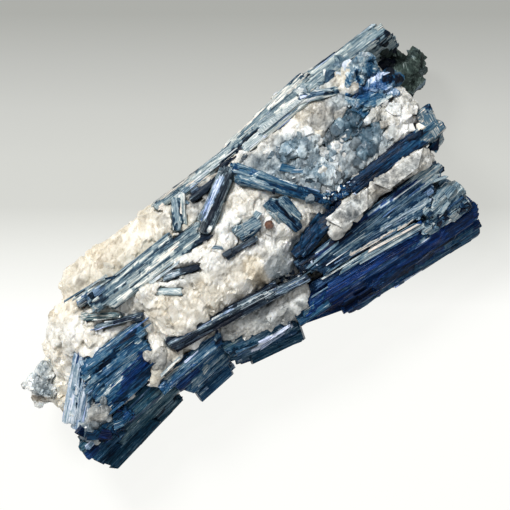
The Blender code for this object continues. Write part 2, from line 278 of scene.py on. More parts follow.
def kyanite(name, gloss, *stops):
    """Striated blades: the colour runs in streaks along each blade, around its own shade; glints and crack shade are
    painted.
    """
    shader = Shader(name)
    grain = shader.attribute("grain", "Vector")
    long_streaks = shader.noise(grain, (0.06, 1.3, 1.3), 2.0, 0.55, 0.2)
    fine_streaks = shader.noise(grain, (0.16, 3.4, 3.4), 2.0, 0.6)
    hair_streaks = shader.noise(grain, (0.3, 9.0, 9.0), 1.0, 0.5)
    dashes = shader.noise(grain, (0.9, 2.6, 2.6), 2.0, 0.6, 0.4, (5, 5, 5))
    patches = shader.noise(grain, (0.3, 0.5, 0.5), 3.0, 0.6)
    # Painted highlights: thin pale streaks that lighten the colour, as glints of light on the cleavage
    glints = shader.spread(shader.noise(grain, (0.22, 4.2, 4.2), 2.0, 0.6, 0.3, (9, 2, 4)), 0.60, 0.66)
    # Painted shade: thin dark streaks in the colour, the shade in cracks that the bump also sinks
    cracks = shader.spread(shader.noise(grain, (0.14, 2.6, 2.6), 2.0, 0.6, 0.3, (1, 8, 3)), 0.60, 0.66)
    value = shader.sum(
        (shader.attribute("shade"), 1.0),
        (long_streaks, 0.55, 0.5),
        (fine_streaks, 0.60, 0.5),
        (hair_streaks, 0.45, 0.5),
        (dashes, 0.45, 0.5),
        (patches, 0.50, 0.5),
        (glints, 0.27),
        (cracks, -0.32),
    )
    tinge = shader.sum((shader.attribute("tinge"), 1.0), (patches, 0.25, 0.5))
    casts = ((0.0, (1.22, 1.0, 0.86)), (0.3, (1.04, 1.01, 0.95)), (0.45, (1.0, 1.0, 1.0)), (1.0, (0.50, 0.70, 1.45)))
    height = shader.sum((fine_streaks, 1.0), (long_streaks, 1.2), (hair_streaks, 0.4), (cracks, -0.25))
    shader.fill(
        shader.surface,
        Base_Color=shader.mix(1.0, shader.ramp(value, stops), shader.ramp(tinge, casts), "MULTIPLY"),
        Roughness=shader.spread(fine_streaks, 0.3, 0.7, gloss, gloss + 0.22),
        Normal=shader.bump(height, 0.5, 0.0003),
        IOR=1.5,
        Specular_IOR_Level=0.11,
    )
    return shader.material


# Quartz colours, from its dark breaks to its clouded white: glassy grey, iron-stained cream, and blue
COOL = (
    (0.0, (0.060, 0.065, 0.065)), (0.25, (0.170, 0.175, 0.170)), (0.45, (0.350, 0.348, 0.325)),
    (0.62, (0.570, 0.562, 0.520)), (0.80, (0.770, 0.762, 0.720)), (1.0, (0.900, 0.895, 0.870)),
)
CREAM = (
    (0.0, (0.085, 0.065, 0.045)), (0.25, (0.270, 0.215, 0.150)), (0.45, (0.480, 0.405, 0.295)),
    (0.62, (0.660, 0.585, 0.450)), (0.80, (0.790, 0.725, 0.600)), (1.0, (0.900, 0.860, 0.770)),
)
BLUE = (
    (0.0, (0.003, 0.020, 0.036)), (0.3, (0.044, 0.095, 0.136)), (0.55, (0.170, 0.258, 0.318)),
    (0.8, (0.450, 0.545, 0.590)), (1.0, (0.820, 0.850, 0.850)),
)
CRACK = (0.22, 0.20, 0.17)


def milky_quartz():
    """Granular quartz: cream to grey grains, each a little different, with glassy breaks."""
    shader = Shader("milky_quartz")
    place = shader.object_coordinates()
    warmth = shader.attribute("warmth")
    wide = shader.noise(place, (110, 110, 110), 2.0, 0.5)
    patch = shader.noise(place, (300, 300, 300), 4.0, 0.6, 0.8, (3, 1, 7))
    speck = shader.noise(place, (1100, 1100, 1100), 3.0, 0.65, 0.5)
    cracked = shader.add("ShaderNodeVectorMath", operation="ADD")
    shader.feed(cracked, 0, shader.stretched(place, (240, 240, 240)))
    shader.feed(cracked, 1, shader.maths("MULTIPLY", patch, 0.9))
    veins = shader.add("ShaderNodeTexVoronoi", feature="DISTANCE_TO_EDGE")
    vein = shader.fill(veins, Vector=cracked.outputs["Vector"], Scale=1.0).outputs["Distance"]
    mottle = shader.sum((patch, 1.10, 0.5), (wide, 0.40, 0.5), (speck, 0.55, 0.5))
    mottle = shader.maths("MULTIPLY", mottle, shader.attribute("contrast"))
    value = shader.maths("ADD", shader.attribute("shade"), mottle)
    drift = shader.sum((wide, 1.4, 0.5))
    warm = shader.maths("ADD", warmth, drift, clamp=True)
    cold = shader.maths("SUBTRACT", shader.maths("MULTIPLY", warmth, -1.0), drift, clamp=True)
    body = shader.mix(warm, shader.ramp(value, COOL), shader.ramp(value, CREAM))
    body = shader.mix(cold, body, shader.ramp(value, BLUE))
    cracks = shader.maths("MULTIPLY", shader.spread(vein, 0.0, 0.03, 0.5, 0.0), shader.spread(wide, 0.5, 0.62))
    shader.fill(
        shader.surface,
        Base_Color=shader.mix(cracks, body, CRACK),
        Roughness=shader.spread(speck, 0.35, 0.65, 0.2, 0.6),
        Normal=shader.bump(shader.sum((speck, 0.35), (patch, 0.25), (vein, 0.2)), 0.55, 0.0005),
        IOR=1.55,
        Subsurface_Weight=0.25,
        Subsurface_Radius=(1.0, 0.85, 0.65),
        Subsurface_Scale=0.0014,
    )
    return shader.material


def brown_garnet():
    shader = Shader("brown_garnet")
    mottle = shader.noise(shader.object_coordinates(), (900, 900, 900), 3.0, 0.55)
    shader.fill(
        shader.surface,
        Base_Color=shader.ramp(mottle, ((0.3, (0.050, 0.018, 0.010)), (0.7, (0.24, 0.115, 0.070)))),
        Normal=shader.bump(mottle, 0.4, 0.0002),
        Roughness=0.28,
        IOR=1.8,
    )
    return shader.material


NAVY_FINISH = kyanite(
    "kyanite_navy", 0.2, (0.0, BLACK), (0.18, INK), (0.38, NAVY), (0.55, ROYAL), (0.7, STEEL), (0.82, GREY_BLUE),
    (0.92, PALE), (1.0, WHITE),
)
BLUE_FINISH = kyanite(
    "kyanite_blue", 0.22, (0.0, BLACK), (0.16, INK), (0.34, NAVY), (0.5, ROYAL), (0.66, STEEL), (0.8, GREY_BLUE),
    (0.92, PALE), (1.0, WHITE),
)
GREY_FINISH = kyanite(
    "kyanite_grey_blue", 0.25, (0.0, BLACK), (0.14, INK), (0.3, NAVY), (0.46, STEEL), (0.66, GREY_BLUE),
    (0.85, PALE), (1.0, WHITE),
)
SLATE_FINISH = kyanite(
    "kyanite_slate", 0.25, (0.0, BLACK), (0.14, (0.006, 0.022, 0.044)), (0.3, (0.022, 0.054, 0.096)),
    (0.46, (0.092, 0.160, 0.210)), (0.66, (0.256, 0.332, 0.372)), (0.85, (0.527, 0.590, 0.596)), (1.0, WHITE),
)
TEAL_FINISH = kyanite(
    "kyanite_teal", 0.22, (0.0, BLACK), (0.22, PINE), (0.43, TEAL), (0.6, (0.070, 0.130, 0.165)),
    (0.77, TEAL_GREY), (0.92, PALE), (1.0, WHITE),
)
DARK_FINISH = kyanite(
    "kyanite_dark", 0.22, (0.0, BLACK), (0.35, PLUM), (0.6, (0.060, 0.090, 0.120)), (0.8, GREY_BLUE), (1.0, WHITE),
)
SMOKY_FINISH = kyanite(
    "kyanite_smoky_green", 0.35, (0.0, BLACK), (0.3, (0.014, 0.022, 0.021)), (0.55, OLIVE),
    (0.8, (0.095, 0.135, 0.122)), (1.0, (0.36, 0.42, 0.41)),
)
QUARTZ_FINISH = milky_quartz()
GARNET_FINISH = brown_garnet()

# ---- Masters, modelled once -------------------------------------------------------------------

HALF_BLADE = 2.0  # half the length of a blade master, which is one wide and deep
BLADE_CHAMFER = 0.10
END_LENGTH = 3.0  # the part of a blade at each end that its break shapes, in blade widths
CHIP_BREAKS = 9  # flat breaks round a chip


def keep_as_master(piece, name):
    """Keeps the mesh and takes the object away."""
    mesh = piece.data
    mesh.name = name
    mesh.materials.clear()
    for old in list(mesh.uv_layers):
        mesh.uv_layers.remove(old)
    bpy.data.objects.remove(piece)
    return mesh


def blade_master(name, head_cuts, tail_cuts):
    """A blade with its long edges taken off and each end broken by slanting cuts, given as
    (run across, run down, how far in)."""
    deselect()
    bpy.ops.mesh.primitive_cube_add(size=1.0, scale=(2 * HALF_BLADE, 1.0, 1.0))
    piece = bpy.context.object
    bpy.ops.object.transform_apply(location=True, rotation=True, scale=True)
    start_edit(piece)
    cage = bmesh.from_edit_mesh(piece.data)
    for edge in cage.edges:
        edge.select_set(abs(edge.verts[0].co.x - edge.verts[1].co.x) > HALF_BLADE)
    cage.select_flush_mode()
    bmesh.update_edit_mesh(piece.data)
    bpy.ops.mesh.bevel(offset=BLADE_CHAMFER, segments=1, affect="EDGES")
    for side, cuts in ((-1, head_cuts), (1, tail_cuts)):
        for across, down, inset in cuts:
            break_off((side * (HALF_BLADE - inset), 0, 0), Vector((side, across, down)).normalized())
    end_edit()
    return keep_as_master(piece, name)


def grain_master(name, chance):
    """A chip of quartz: a block broken off by flat breaks all round."""
    deselect()
    bpy.ops.mesh.primitive_cube_add(size=1.0)
    piece = bpy.context.object
    start_edit(piece)
    for _ in range(CHIP_BREAKS):
        away = any_way(chance).normalized()
        break_off(away * chance.uniform(0.34, 0.5), away)
    end_edit()
    return keep_as_master(piece, name)


def pebble_master(name, shift):
    """A rounded stone with a rough skin."""
    deselect()
    bpy.ops.mesh.primitive_ico_sphere_add(subdivisions=4, radius=0.5)
    piece = bpy.context.object
    places = corners(piece.data)
    swell = [
        1 + 0.30 * noise.noise(Vector(place) * 2.2 + Vector((shift, 0, 0)))
        + 0.14 * abs(noise.noise(Vector(place) * 5.0 + Vector((0, shift, 0))))
        + 0.06 * abs(noise.noise(Vector(place) * 11.0 + Vector((0, 0, shift))))
        for place in places
    ]
    put_corners(piece.data, places * np.array(swell)[:, None])
    return keep_as_master(piece, name)


blade_masters = [
    blade_master("square_break", [(0.15, 0.2, 0.1)], [(-0.3, 0.1, 0.15)]),
    blade_master("slant_break", [(0.9, 0.2, 0.6)], [(0.6, -0.3, 0.5)]),
    blade_master("wedge_tip", [(0.1, 0.5, 0.3)], [(2.4, 0.3, 0.9), (-1.8, 0.4, 0.8)]),
    blade_master("thin_tip", [(0.5, 0.9, 0.6)], [(0.5, 3.0, 1.2)]),
    blade_master("stepped", [(1.4, 0.1, 0.7), (-0.5, 0.6, 0.35)], [(-0.9, 0.4, 0.4), (0.9, 0.1, 0.6)]),
    blade_master("splinter", [(2.6, 1.0, 1.1), (-1.0, 0.6, 0.5)], [(-2.8, 0.8, 1.2), (1.2, 0.6, 0.6)]),
]
hand_masters = blade_masters + [blade_master("oblique_break", [(-0.5, 0.0, 0.3)], [(0.5, 0.0, 0.3)])]
grain_chance = random.Random(7)
grain_masters = [grain_master(f"chip_{i}", grain_chance) for i in range(10)]
pebble_masters = [pebble_master(f"pebble_{i}", 5.0 * i) for i in range(3)]


def copy_of(master, places, grain, shade, tinge=PLAIN_TINGE):
    """One more object with its own copy of a master's mesh, its corners put in their places."""
    mesh = master.copy()
    put_corners(mesh, places)
    set_vectors(mesh, "grain", grain)
    piece = add_object("copy", mesh)
    set_looks(piece, shade=shade, tinge=tinge)
    return piece


def lay_blade(centre, along, up, length, width, depth, shade, chance, master=None, tip=1.0, tinge=PLAIN_TINGE):
    """One blade: its top face's middle is at centre, and its far end is tip times as wide."""
    mesh = master or chance.choice(blade_masters)
    local = corners(mesh)
    end = min(width * END_LENGTH, length * 0.5)
    x = np.where(
        local[:, 0] < 0,
        -length / 2 + (local[:, 0] + HALF_BLADE) * end / HALF_BLADE,
        length / 2 - (HALF_BLADE - local[:, 0]) * end / HALF_BLADE,
    )
    if chance.random() < 0.5:
        x = -x
        local[:, 1] = -local[:, 1]
    share = 1 - (1 - tip) * np.clip(x / length + 0.5, 0, 1)
    y = local[:, 1] * width * share
    z = (local[:, 2] - 0.5) * depth
    along = along.normalized()
    across = up.cross(along).normalized()
    axes = np.array([along, across, along.cross(across)], float)
    places = np.array(centre, float) + np.stack([x, y, z], 1) @ axes
    start = np.array([chance.uniform(-90, 90) for _ in "xyz"])
    grain = np.stack([x, y, z], 1) / MM + start
    return copy_of(mesh, places, grain, shade, tinge)


# ---- The CAD solids as guides -----------------------------------------------------------------

MERGE_DISTANCE = 2e-6
HIDDEN_GAP = 1.2 * MM
STRIDE = 0.6  # of a walk along a solid's skin, in millimetres
OFF_SKIN = 0.42 * MM  # how far from the skin the walk ends
TURNED_AWAY = 0.55  # the cosine between its normals at which the walk ends


class Guide:
    """A CAD solid, merged, for finding its surface."""

    def __init__(self, node):
        shape = bmesh.new()
        shape.from_mesh(frame["nodes"][node].data)
        bmesh.ops.remove_doubles(shape, verts=shape.verts, dist=MERGE_DISTANCE)
        bmesh.ops.triangulate(shape, faces=shape.faces)
        shape.normal_update()
        self.tree = BVHTree.FromBMesh(shape)
        self.mesh = bpy.data.meshes.new(node + "_guide")
        shape.to_mesh(self.mesh)
        self.triangles = np.array([[tuple(v.co) for v in face.verts] for face in shape.faces])
        self.normals = np.array([tuple(face.normal) for face in shape.faces])
        shape.free()
        edges = self.triangles[:, 1:] - self.triangles[:, :1]
        self.areas = np.linalg.norm(np.cross(edges[:, 0], edges[:, 1]), axis=1) / 2

    def samples(self, spacing, chance):
        """Points spread over the solid's skin, one to each spacing (in square millimetres)."""
        count = int(self.areas.sum() / (spacing * MM * MM))
        picks = chance.choices(range(len(self.areas)), weights=self.areas.tolist(), k=count)
        for pick in picks:
            a, b, c = (Vector(corner) for corner in self.triangles[pick])
            s, t = chance.random(), chance.random()
            if s + t > 1:
                s, t = 1 - s, 1 - t
            yield a + (b - a) * s + (c - a) * t, Vector(self.normals[pick])


guides = {node: Guide(node) for node in frame["nodes"]}


def everything(nodes, dressed=None):
    """One search tree over several solids, and over a piece that is already dressed."""
    points, faces = [], []
    for node in nodes:
        first = len(points)
        points += [Vector(corner) for corner in guides[node].triangles.reshape(-1, 3)]
        faces += [(i, i + 1, i + 2) for i in range(first, len(points), 3)]
    if dressed:
        first = len(points)
        points += [corner.co.copy() for corner in dressed.data.vertices]
        faces += [tuple(first + i for i in face.vertices) for face in dressed.data.polygons]
    return BVHTree.FromPolygons(points, faces)


kyanite_nodes = [node for node in guides if node != "quartz_matrix"]
all_solids = everything(guides)
kyanite_tree = everything(kyanite_nodes)


def exposed(point, normal):
    """Whether nothing faces this spot of a solid within a millimetre."""
    return all_solids.ray_cast(point + normal * 0.05 * MM, normal, HIDDEN_GAP)[0] is None


def run_to_edge(guide, point, step, normal, limit):
    """How far the skin goes on from point before it ends or turns away."""
    gone = 0.0
    stride = step.normalized() * STRIDE * MM
    here = point.copy()
    while gone < limit:
        here = here + stride
        near, facing, _, distance = guide.tree.find_nearest(here, 1.0 * MM)
        if near is None or distance > OFF_SKIN or facing.dot(normal) < TURNED_AWAY:
            break
        gone += STRIDE * MM
    return gone


def remeshed(node, voxel, smoothings):
    """A copy of a CAD solid with even, small faces, its hard edges a little worn: gives it and
    its mesh, corners and normals."""
    mesh = guides[node].mesh.copy()
    mesh.materials.clear()
    body = add_object(node + "_body", mesh)
    deselect()
    body.select_set(True)
    bpy.context.view_layer.objects.active = body
    remesh = body.modifiers.new("remesh", "REMESH")
    remesh.mode = "VOXEL"
    remesh.voxel_size = voxel
    bpy.ops.object.modifier_apply(modifier=remesh.name)
    start_edit(body)
    bpy.ops.mesh.vertices_smooth(factor=0.5, repeat=smoothings)
    end_edit()
    mesh = body.data
    return body, mesh, corners(mesh), np.array([tuple(corner.normal) for corner in mesh.vertices])


# ---- Quartz -----------------------------------------------------------------------------------

QUARTZ_VOXEL = 0.59 * MM
QUARTZ_SWELL = 0.3 * MM  # closes the CAD's gaps round the blades
QUARTZ_LOOK = (0.74, 0.25, 0.9)  # its usual shade, warmth and relief
QUARTZ_LOOK_WEIGHT, TONE_WEIGHT = 0.6, 4.0  # of the usual look, and in the middle of a tone's reach
BIG_CELLS = (5.0 * MM, 0.17, 0.12 * MM)  # size, tilt and step of the flat breaks
SMALL_CELLS = (2.0 * MM, 0.11, 0.05 * MM)
GRAIN_SPACING = 7.0  # square millimetres to a grain
GRAIN_SIZES = (0.8, 2.6)
SLAB_DEPTH = 2.4 * MM
# Where the quartz differs from its usual: from, to, reach, shade, warmth, relief
QUARTZ_TONES = (
    ((-45, 20), (-14, 20), 6, 0.67, 0.9, 0.7), ((-60, 8), (-62, -2), 4.5, 0.8, 1, 0.9),
    ((-57, -9), (-52, -11), 3, 0.34, -0.4, 0.9), ((-15, -12), (-4, -17), 6, 0.52, -0.1, 0.9),
    ((18, -8.4), (47, -8.4), 3, 0.48, -0.05, 0.8), ((-28, 0), (-10, -4), 4, 0.67, 0.6, 0.9),
    ((-4, -7), (-3, -3), 2, 0.4, 1, 0.9), ((12, 16), (22, 14), 3, 0.5, -0.5, 1.1),
    ((20, 12), (29, 12), 3.6, 0.52, -0.6, 1.1), ((20, 7), (33, 4), 4, 0.42, -0.8, 0.9),
    ((33, 9), (41, 3), 4.5, 0.44, -0.8, 0.9), ((21, 0), (33, -1), 2.6, 0.36, -0.6, 0.9),
    ((1, -7), (8, -7), 2.5, 0.55, -0.7, 0.9), ((16, 10), (22, 6), 2.4, 0.42, -0.8, 0.9),
    ((38, 15), (44, 11), 2.2, 0.55, -0.7, 0.9), ((33, 22), (40, 21), 1.6, 0.62, -0.4, 0.8),
    ((40, 20), (45, 18), 2.6, 0.52, 0.45, 1.7), ((-42, -8), (-31, -8), 3, 0.68, 0.5, 0.9),
    ((-12, 20), (2, 19), 3, 0.56, 0.3, 0.9), ((-60.8, -11.2), (-58.2, -12), 2.3, 0.08, -1, 1),
    ((30, 15), (36, 16), 3.4, 0.43, 0.2, 1.3), ((44, 6), (48, 0), 4, 0.9, 0.3, 1.5),
    ((-36.5, -4.5), (-34, -10), 2.6, 0.5, 0.15, 1.1), ((-56, 8), (-53, 2), 4.5, 0.8, 0.5, 1.2),
    ((-48, 8), (-40, 6), 4, 0.82, 0.4, 1.2), ((0, 6), (4, -3), 4, 0.75, 0.1, 1.2),
)
# Single angular lumps: x, y, size, shade, warmth
QUARTZ_LUMPS = (
    (44.6, 8.8, 2.6, 0.74, 0.3), (43.2, 6.6, 2.4, 0.66, 0.2), (47, 8.6, 2.2, 0.8, 0.3),
    (51.2, 2.6, 2.4, 0.72, 0.4), (47, -1.6, 2.4, 0.62, 0.3), (50.4, -2.4, 2, 0.5, 0.4), (43, 1.6, 2.4, 0.6, 0.1),
    (28.4, 1.8, 2.4, 0.62, 0), (25, 4.6, 2.2, 0.7, 0.1), (31.6, 5.2, 2.6, 0.74, 0.1), (22.4, 6.4, 2.6, 0.66, -0.2),
    (18.4, 9.6, 2.4, 0.74, 0.1), (27.6, 7.4, 2.8, 0.6, -0.3), (24.2, 0.2, 2, 0.6, -0.2), (21, 2.4, 2, 0.72, 0),
    (36.6, 13, 3, 0.56, 0.2), (29.6, 12.2, 3.2, 0.58, 0.3), (30.4, -1.2, 2.2, 0.58, 0),
    (43.8, 19.8, 1.8, 0.5, 0.4), (42.2, 20.6, 1.4, 0.44, 0.5), (41, 18.4, 1.6, 0.56, 0.4),
)
# Single rounded stones, in the same way
QUARTZ_PEBBLES = (
    (-55.3, -8.8, 5.4, 0.36, -0.1), (-57.9, -10.2, 2.6, 0.24, -0.5), (-52.9, -7.2, 2.4, 0.3, -0.4),
    (-35.5, -7.4, 4.6, 0.42, 0.1), (-34.6, -10.2, 2.8, 0.36, 0.1), (-37.2, -5, 2.4, 0.46, 0.2),
)
# Flat-topped pieces: from, to, width, shade, warmth, how far they rise, which blade master
QUARTZ_SLABS = (
    ((17.8, -7.7), (31.6, -7.7), 4.8, 0.48, -0.15, 0.9, 1), ((20.8, -6.2), (30.8, -6), 1.6, 0.58, 0.1, 1.1, 3),
    ((32.3, -7.4), (48.4, -8), 3.8, 0.43, -0.15, 0.9, 1), ((34.5, -6.2), (46.4, -6.6), 1.3, 0.54, 0.1, 1.05, 0),
    ((40, -9), (48.8, -9.4), 1.4, 0.36, 0.1, 0.8, 3), ((45, 7.8), (49.8, 4), 3.4, 0.92, 0.1, 0.8, 2),
    ((47.8, 3.2), (51.2, 0.4), 2.8, 0.94, 0.1, 0.8, 5), ((44.2, 5.4), (47.4, 1.2), 2.8, 0.78, 0.3, 0.7, 4),
    ((45.4, 1.4), (49.6, -1.4), 2.4, 0.86, 0.2, 0.6, 1), ((49.4, 6.2), (51.4, 2.6), 2, 0.68, 0.4, 0.6, 3),
    ((42.6, 4.6), (45.2, 3.2), 2, 0.64, 0.3, 0.6, 2), ((-28.4, -8.9), (-19.6, -10.9), 1.7, 0.58, 0.1, 0.2, 3),
    ((-20.6, -10.7), (-8.6, -13.2), 1.6, 0.5, 0, 0.2, 5),
)


def quartz_tone(place):
    """The shade, warmth and relief of the quartz at a place, in millimetres on the face."""
    total = QUARTZ_LOOK_WEIGHT
    looks = np.array(QUARTZ_LOOK) * total
    for start, end, reach, *own in QUARTZ_TONES:
        head, run = Vector(start), Vector(end) - Vector(start)
        share = max(0.0, min(1.0, (place - head).dot(run) / run.length_squared))
        weight = TONE_WEIGHT * math.exp(-(((place - head - run * share).length / reach) ** 4))
        looks = looks + np.array(own) * weight
        total += weight
    return looks / total


def broken_cells(places, spacing, tilt, step, chance):
    """Each cell of a cracked mass gets its own plane: gives the rise at each place, and its cell."""
    count = int(len(places) * (QUARTZ_VOXEL / spacing) ** 2 * 1.5)
    picks = [chance.randrange(len(places)) for _ in range(count)]
    seeds = places[picks] + np.array([[chance.gauss(0, spacing / 4) for _ in "xyz"] for _ in picks])
    tree = KDTree(len(seeds))
    for i, seed in enumerate(seeds):
        tree.insert(seed, i)
    tree.balance()
    cell = np.array([tree.find(place)[1] for place in places])
    slopes = np.array([[chance.gauss(0, tilt) for _ in "xyz"] for _ in picks])
    steps = np.array([chance.gauss(0, step) for _ in picks])
    rise = ((places - seeds[cell]) * slopes[cell]).sum(1) + steps[cell]
    return np.clip(rise, -0.4 * spacing, 0.4 * spacing), cell


def cell_shades(cell, spread, chance):
    """How much lighter or darker each cell is, for every place."""
    return np.array([chance.gauss(0, spread) for _ in range(cell.max() + 1)])[cell]


def lay_grain(point, normal, size, tone, chance, masters=grain_masters):
    """One grain set in the skin of the quartz, flatter than it is wide."""
    mesh = chance.choice(masters)
    turn = Matrix.Rotation(chance.uniform(0, math.tau), 3, any_way(chance).normalized())
    local = corners(mesh) @ np.array(turn, float).T
    across = normal.orthogonal().normalized()
    side = normal.cross(across)
    stretch = np.array([size * chance.uniform(0.8, 1.3), size * chance.uniform(0.7, 1.1),
                        size * chance.uniform(0.45, 0.8)])
    rise = size * chance.uniform(-0.02, 0.1)
    local = local * stretch
    top = local[:, 2].max()
    local[:, 2] += rise - top + 0.15 * MM
    places = np.array(point, float) + local @ np.array([across, side, normal], float)
    return copy_of(mesh, places, places / MM, tone)


def contact_grains(chance):
    """Small grains crowded along the quartz's contacts with the blades, and a few elsewhere."""
    for point, normal in guides["quartz_matrix"].samples(GRAIN_SPACING, chance):
        if not exposed(point, normal) or normal.z < 0.2:
            continue
        contact = kyanite_tree.find_nearest(point, 1.5 * MM)[0]
        if contact is None and chance.random() > 0.06:
            continue
        if contact is not None:
            point = (point + contact) / 2
        size = drawn_size(chance, *GRAIN_SIZES)
        tone, warmth, relief = quartz_tone(Vector((point.x, point.y)) / MM - FACE_SHIFT.xy)
        grain = lay_grain(point, normal, size, tone + chance.gauss(0, 0.09), chance)
        set_looks(grain, warmth=warmth, contrast=relief)
        yield grain


def set_stones(chance):
    """The lumps and pebbles of the tables, each on what lies under it."""
    stones = [(*lump, 0.0, grain_masters) for lump in QUARTZ_LUMPS]
    stones += [(*pebble, 0.22, pebble_masters) for pebble in QUARTZ_PEBBLES]
    for x, y, size, tone, warmth, rise, masters in stones:
        top = top_of(all_solids, x, y)
        top.z += QUARTZ_SWELL + rise * size * MM
        stone = lay_grain(top, UP, size * MM, tone, chance, masters)
        set_looks(stone, warmth=warmth, contrast=1.2)
        yield stone


def set_slabs(chance):
    """The flat-topped pieces of the table: an end that hangs past an edge keeps the middle's height."""
    for head, tail, width, tone, warmth, rise, breaks in QUARTZ_SLABS:
        middle = [(a + b) / 2 for a, b in zip(head, tail)]
        tops = [top_of(all_solids, *place) for place in (head, tail, middle)]
        level = [top.z if top and abs(top.z - tops[2].z) < 1.5 * MM else tops[2].z for top in tops]
        start, end = at(*head, level[0] / MM + rise), at(*tail, level[1] / MM + rise)
        slab = lay_blade((start + end) / 2 + Vector((0, 0, QUARTZ_SWELL)), end - start, UP, (end - start).length,
                         width * MM, SLAB_DEPTH, tone, chance, blade_masters[breaks], tip=0.8)
        set_looks(slab, warmth=warmth, contrast=1.9)
        yield slab


def quartz():
    """The granular matrix: one rough mass, broken all over in grains with flat breaks."""
    chance = random.Random(41)
    body, mesh, places, normals = remeshed("quartz_matrix", QUARTZ_VOXEL, 3)
    big, big_cell = broken_cells(places, *BIG_CELLS, chance)
    small, small_cell = broken_cells(places, *SMALL_CELLS, chance)
    swell = np.array([noise.noise(Vector(place) / (6.0 * MM)) for place in places]) * 0.45 * MM
    tones = np.array([quartz_tone(Vector((p[0], p[1])) / MM - FACE_SHIFT.xy) for p in places])
    places = places + normals * (QUARTZ_SWELL + (big + small + swell) * tones[:, 2])[:, None]
    put_corners(mesh, places)
    set_floats(mesh, "contrast", tones[:, 2])
    shades = tones[:, 0] + cell_shades(big_cell, 0.07, chance) + cell_shades(small_cell, 0.07, chance)
    set_floats(mesh, "shade", shades)
    set_floats(mesh, "warmth", tones[:, 1])
    set_vectors(mesh, "grain", places / MM)
    pieces = [body, *contact_grains(chance), *set_stones(chance), *set_slabs(chance)]
    piece = join(pieces, "quartz_mass")
    stand_for(piece, "quartz_matrix", QUARTZ_FINISH, "milky_quartz")
    return piece


ground = everything(kyanite_nodes, quartz())


def height(x, y):
    """How high the specimen stands at a place on the face, in millimetres."""
    top = top_of(ground, x, y)
    return top.z / MM if top else 0.0


# ---- Kyanite sheaves --------------------------------------------------------------------------

BODY_VOXEL = 0.5 * MM
BODY_PAINTED_SHADE = 0.03  # painted shade: how much darker the body is than the blades on it, where it shows between them
STEEP = 0.75  # the cosine between skin and blades past which the blades show their broken ends
OWN_GRAIN = 0.7  # the share of the blades whose streaks run on from the body's
STUB_LENGTH = 3.0 * MM
LOWEST_LITTER = 5.0  # millimetres
RIB_RELIEF = 0.22  # millimetres that the body's ribs rise and fall
PAINTED_GLINT_DRAW, PAINTED_GAP_DRAW = 0.06, 0.10  # up to the first a strip is painted pale as a glint of light, up to the second painted dark as the shade of a gap
PAINTED_GLINT_TONE, PAINTED_GAP_TONE = 0.86, 0.02
STONE_CAST, TEAL_CAST, LILAC_CAST, ROYAL_CAST = 0.0, 0.2, 0.6, 0.95


def tone_at(places, normals, accents, shade, tinge):
    """The shade and tinge at each place, and how long a blade there may be: an accent (from, to,
    half width, shade, tinge) overrides the sheaf's own on the parts that face up."""
    shades = np.full(len(places), shade, float)
    tinges = np.full(len(places), tinge, float)
    reaches = np.full(len(places), np.inf)
    ragged = np.array([noise.noise(Vector(place) / (1.3 * MM)) for place in places])
    for start, end, reach, value, *cast in accents:
        run = end - start
        share = np.clip((places[:, :2] - start) @ run / (run @ run), 0, 1)
        away = np.linalg.norm(places[:, :2] - start - share[:, None] * run, axis=1)
        inside = (away < reach * (1 + 0.9 * ragged)) & (normals[:, 2] > 0.1)
        shades[inside] = value
        tinges[inside] = cast[0] if cast else tinge
        reaches[inside] = np.linalg.norm(run)
    return shades, tinges, reaches


def own_run(places, runs):
    """Which run is nearest to each place."""
    gaps = []
    for head, tail in runs:
        span = np.array(tail - head, float)
        share = np.clip((places - np.array(head)) @ span / (span @ span), 0, 1)
        gaps.append(np.linalg.norm(places - np.array(head) - share[:, None] * span, axis=1))
    return np.argmin(np.array(gaps), axis=0)


def grain_of(places, runs):
    """Places in millimetres along and across their own runs, so that streaks run on unbroken."""
    nearest = own_run(places, runs)
    grain = np.empty_like(places)
    for index, (head, tail) in enumerate(runs):
        along = (tail - head).normalized()
        across = UP.cross(along).normalized()
        axes = np.array([along, across, along.cross(across)], float)
        chosen = nearest == index
        grain[chosen] = (places[chosen] / MM) @ axes.T + 37.0 * index
    return grain


def core(node, runs, shade, tinge, accents):
    """The sheaf's body: one mass with ribs along its grain, under its separate blades."""
    body, mesh, places, normals = remeshed(node, BODY_VOXEL, 2)
    grain = grain_of(places, runs)
    rise = np.array([
        noise.noise(Vector((g[0] / 8, g[1] / 0.8, g[2] / 0.8)))
        + 0.9 * noise.noise(Vector((g[0] / 5 + 50, g[1] / 2.4, g[2] / 2.4)))
        for g in grain
    ])
    shades, tinges, _ = tone_at(places, normals, accents, shade, tinge)
    put_corners(mesh, places + normals * ((rise + 0.4) * RIB_RELIEF * MM)[:, None])
    set_vectors(mesh, "grain", grain)
    # Painted shade and light: the sunk grooves between the ribs are a little darker, the raised ribs a little
    # lighter
    set_floats(mesh, "shade", shades + rise * 0.10)
    set_floats(mesh, "tinge", tinges)
    return body


